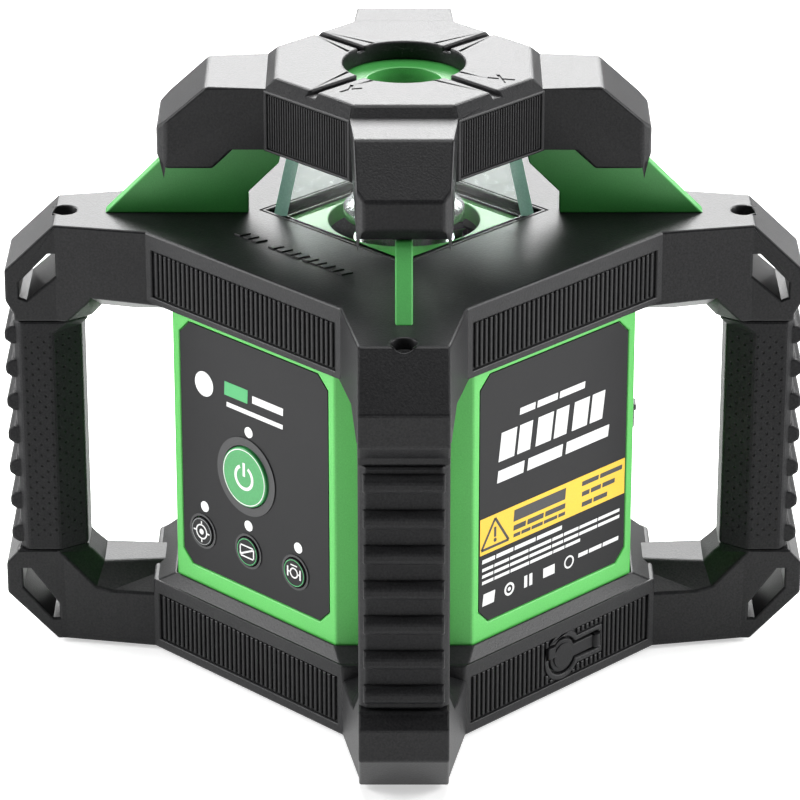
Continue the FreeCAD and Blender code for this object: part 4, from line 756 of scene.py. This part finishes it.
def dimpled_rubber(name, dark, light, rough):
    mat = grained(name, dark, light, rough, 0.35, 1600.0, gloss=0.15)
    nodes = mat.node_tree.nodes
    links = mat.node_tree.links

    def step(operation, first, second=None, third=None):
        node = nodes.new("ShaderNodeMath")
        node.operation = operation
        for socket, value in zip(node.inputs, (first, second, third)):
            if value is None:
                continue
            if isinstance(value, float):
                socket.default_value = value
            else:
                links.new(value, socket)
        return node.outputs[0]

    place = next(n for n in nodes if n.bl_idname == "ShaderNodeTexCoord")
    parts = nodes.new("ShaderNodeSeparateXYZ")
    links.new(place.outputs["Object"], parts.inputs["Vector"])
    reach = step("ADD", step("ABSOLUTE", parts.outputs["X"]), step("ABSOLUTE", parts.outputs["Y"]))
    across = step("MULTIPLY", reach, 1000.0 / math.sqrt(2) / DIMPLE_PITCH)
    up = step("MULTIPLY", parts.outputs["Z"], 1000.0 / DIMPLE_ROW)
    odd = step("MULTIPLY", step("MODULO", step("FLOOR", up), 2.0), 0.5)
    du = step("MULTIPLY", step("SUBTRACT", step("FRACT", step("ADD", across, odd)), 0.5), DIMPLE_PITCH)
    dv = step("MULTIPLY", step("SUBTRACT", step("FRACT", up), 0.5), DIMPLE_ROW)
    away = step("SQRT", step("ADD", step("MULTIPLY", du, du), step("MULTIPLY", dv, dv)))
    hollow = nodes.new("ShaderNodeMapRange")
    hollow.interpolation_type = "SMOOTHSTEP"
    hollow.inputs["From Min"].default_value = DIMPLE_RADIUS * 0.6
    hollow.inputs["From Max"].default_value = DIMPLE_RADIUS * 1.3
    links.new(away, hollow.inputs["Value"])
    inside = step("LESS_THAN", reach, DIMPLE_REACH * math.sqrt(2))
    level = step("ABSOLUTE", step("SUBTRACT", parts.outputs["Z"], DIMPLE_MIDDLE))
    middle = step("LESS_THAN", level, DIMPLE_HALF)
    shown = step("MULTIPLY", inside, middle)
    depth = step("MULTIPLY_ADD", step("SUBTRACT", hollow.outputs["Result"], 1.0), shown, 1.0)
    shader = nodes["Principled BSDF"]
    ramp = next(n for n in nodes if n.bl_idname == "ShaderNodeValToRGB")
    # painted shade: the colour darkens to near black inside each dimple, standing in for the shade in the
    # hollows
    dimple_painted_shade = nodes.new("ShaderNodeMix")
    dimple_painted_shade.data_type = "RGBA"
    dimple_painted_shade.inputs["A"].default_value = (0.004, 0.004, 0.004, 1.0)
    links.new(depth, dimple_painted_shade.inputs["Factor"])
    links.new(ramp.outputs["Color"], dimple_painted_shade.inputs["B"])
    links.new(dimple_painted_shade.outputs["Result"], shader.inputs["Base Color"])
    grain = next(n for n in nodes if n.bl_idname == "ShaderNodeBump")
    dent = nodes.new("ShaderNodeBump")
    dent.inputs["Strength"].default_value = 0.9
    dent.inputs["Distance"].default_value = 0.0003
    links.new(depth, dent.inputs["Height"])
    links.new(grain.outputs["Normal"], dent.inputs["Normal"])
    links.new(dent.outputs["Normal"], shader.inputs["Normal"])
    return mat


grip_rubber = dimpled_rubber("grip_rubber", (0.007, 0.007, 0.008), (0.022, 0.022, 0.023), 0.5)
for corner in ("back_right", "back_left", "front_left", "front_right"):
    rounded_copy("grip_" + corner, "grip_rubber_" + corner, 0.9, grip_rubber, 2)

# ---- Floor, light and camera --------------------------------------------------------------
# A plain white floor and a ring of soft boxes, seen with a long lens from the corner between
# the key panel and the label.
CAMERA_TURN = 45.0
CAMERA_RISE = 23.8
CAMERA_FAR = 1.467
AIM = (0.0, 0.0, 0.083)
LENS = 198.0
ground = bmesh.new()
bmesh.ops.create_grid(ground, x_segments=1, y_segments=1, size=6.0)
ground_mesh = bpy.data.meshes.new("floor")
ground.to_mesh(ground_mesh)
ground.free()
studio_white = grained("studio_white", (0.84, 0.84, 0.84), (0.90, 0.90, 0.90), 0.7, 0.02, 60.0)
studio_shader = studio_white.node_tree.nodes["Principled BSDF"]
studio_shader.inputs["Emission Color"].default_value = (1.0, 1.0, 1.0, 1.0)
studio_shader.inputs["Emission Strength"].default_value = 0.5
ground_mesh.materials.append(studio_white)
floor = bpy.data.objects.new("floor", ground_mesh)
bpy.context.scene.collection.objects.link(floor)


def soft_box(name, place, aim, size, power):
    lamp = bpy.data.lights.new(name, "AREA")
    lamp.shape = "RECTANGLE"
    lamp.size = size[0]
    lamp.size_y = size[1]
    lamp.energy = power
    holder = bpy.data.objects.new(name, lamp)
    holder.location = place
    holder.rotation_euler = (Vector(aim) - Vector(place)).to_track_quat("-Z", "Y").to_euler()
    bpy.context.scene.collection.objects.link(holder)


soft_box("back_box", (-1.0, 1.0, 0.95), (0, 0, 0.12), (1.8, 0.8), 56.0)
soft_box("top_box", (-0.1, 0.1, 1.4), (0, 0, 0.1), (0.8, 0.8), 10.0)
soft_box("left_box", (-1.0, -0.9, 0.6), (0, 0, 0.1), (0.7, 0.9), 24.0)
soft_box("right_box", (0.9, 1.0, 0.6), (0, 0, 0.1), (0.7, 0.9), 24.0)

world = bpy.data.worlds.new("studio_air")
world.use_nodes = True
world.node_tree.nodes["Background"].inputs["Color"].default_value = (1.0, 1.0, 1.0, 1.0)
world.node_tree.nodes["Background"].inputs["Strength"].default_value = 0.15
bpy.context.scene.world = world
bpy.context.scene.view_settings.view_transform = "Standard"

turn = math.radians(CAMERA_TURN)
rise = math.radians(CAMERA_RISE)
direction = Vector((math.sin(turn) * math.cos(rise), -math.cos(turn) * math.cos(rise), math.sin(rise)))
lens = bpy.data.cameras.new("long_lens")
lens.lens = LENS
lens.shift_x = -0.005
camera = bpy.data.objects.new("camera", lens)
camera.location = Vector(AIM) + direction * CAMERA_FAR
camera.rotation_euler = (-direction).to_track_quat("-Z", "Y").to_euler()
bpy.context.scene.collection.objects.link(camera)
bpy.context.scene.camera = camera
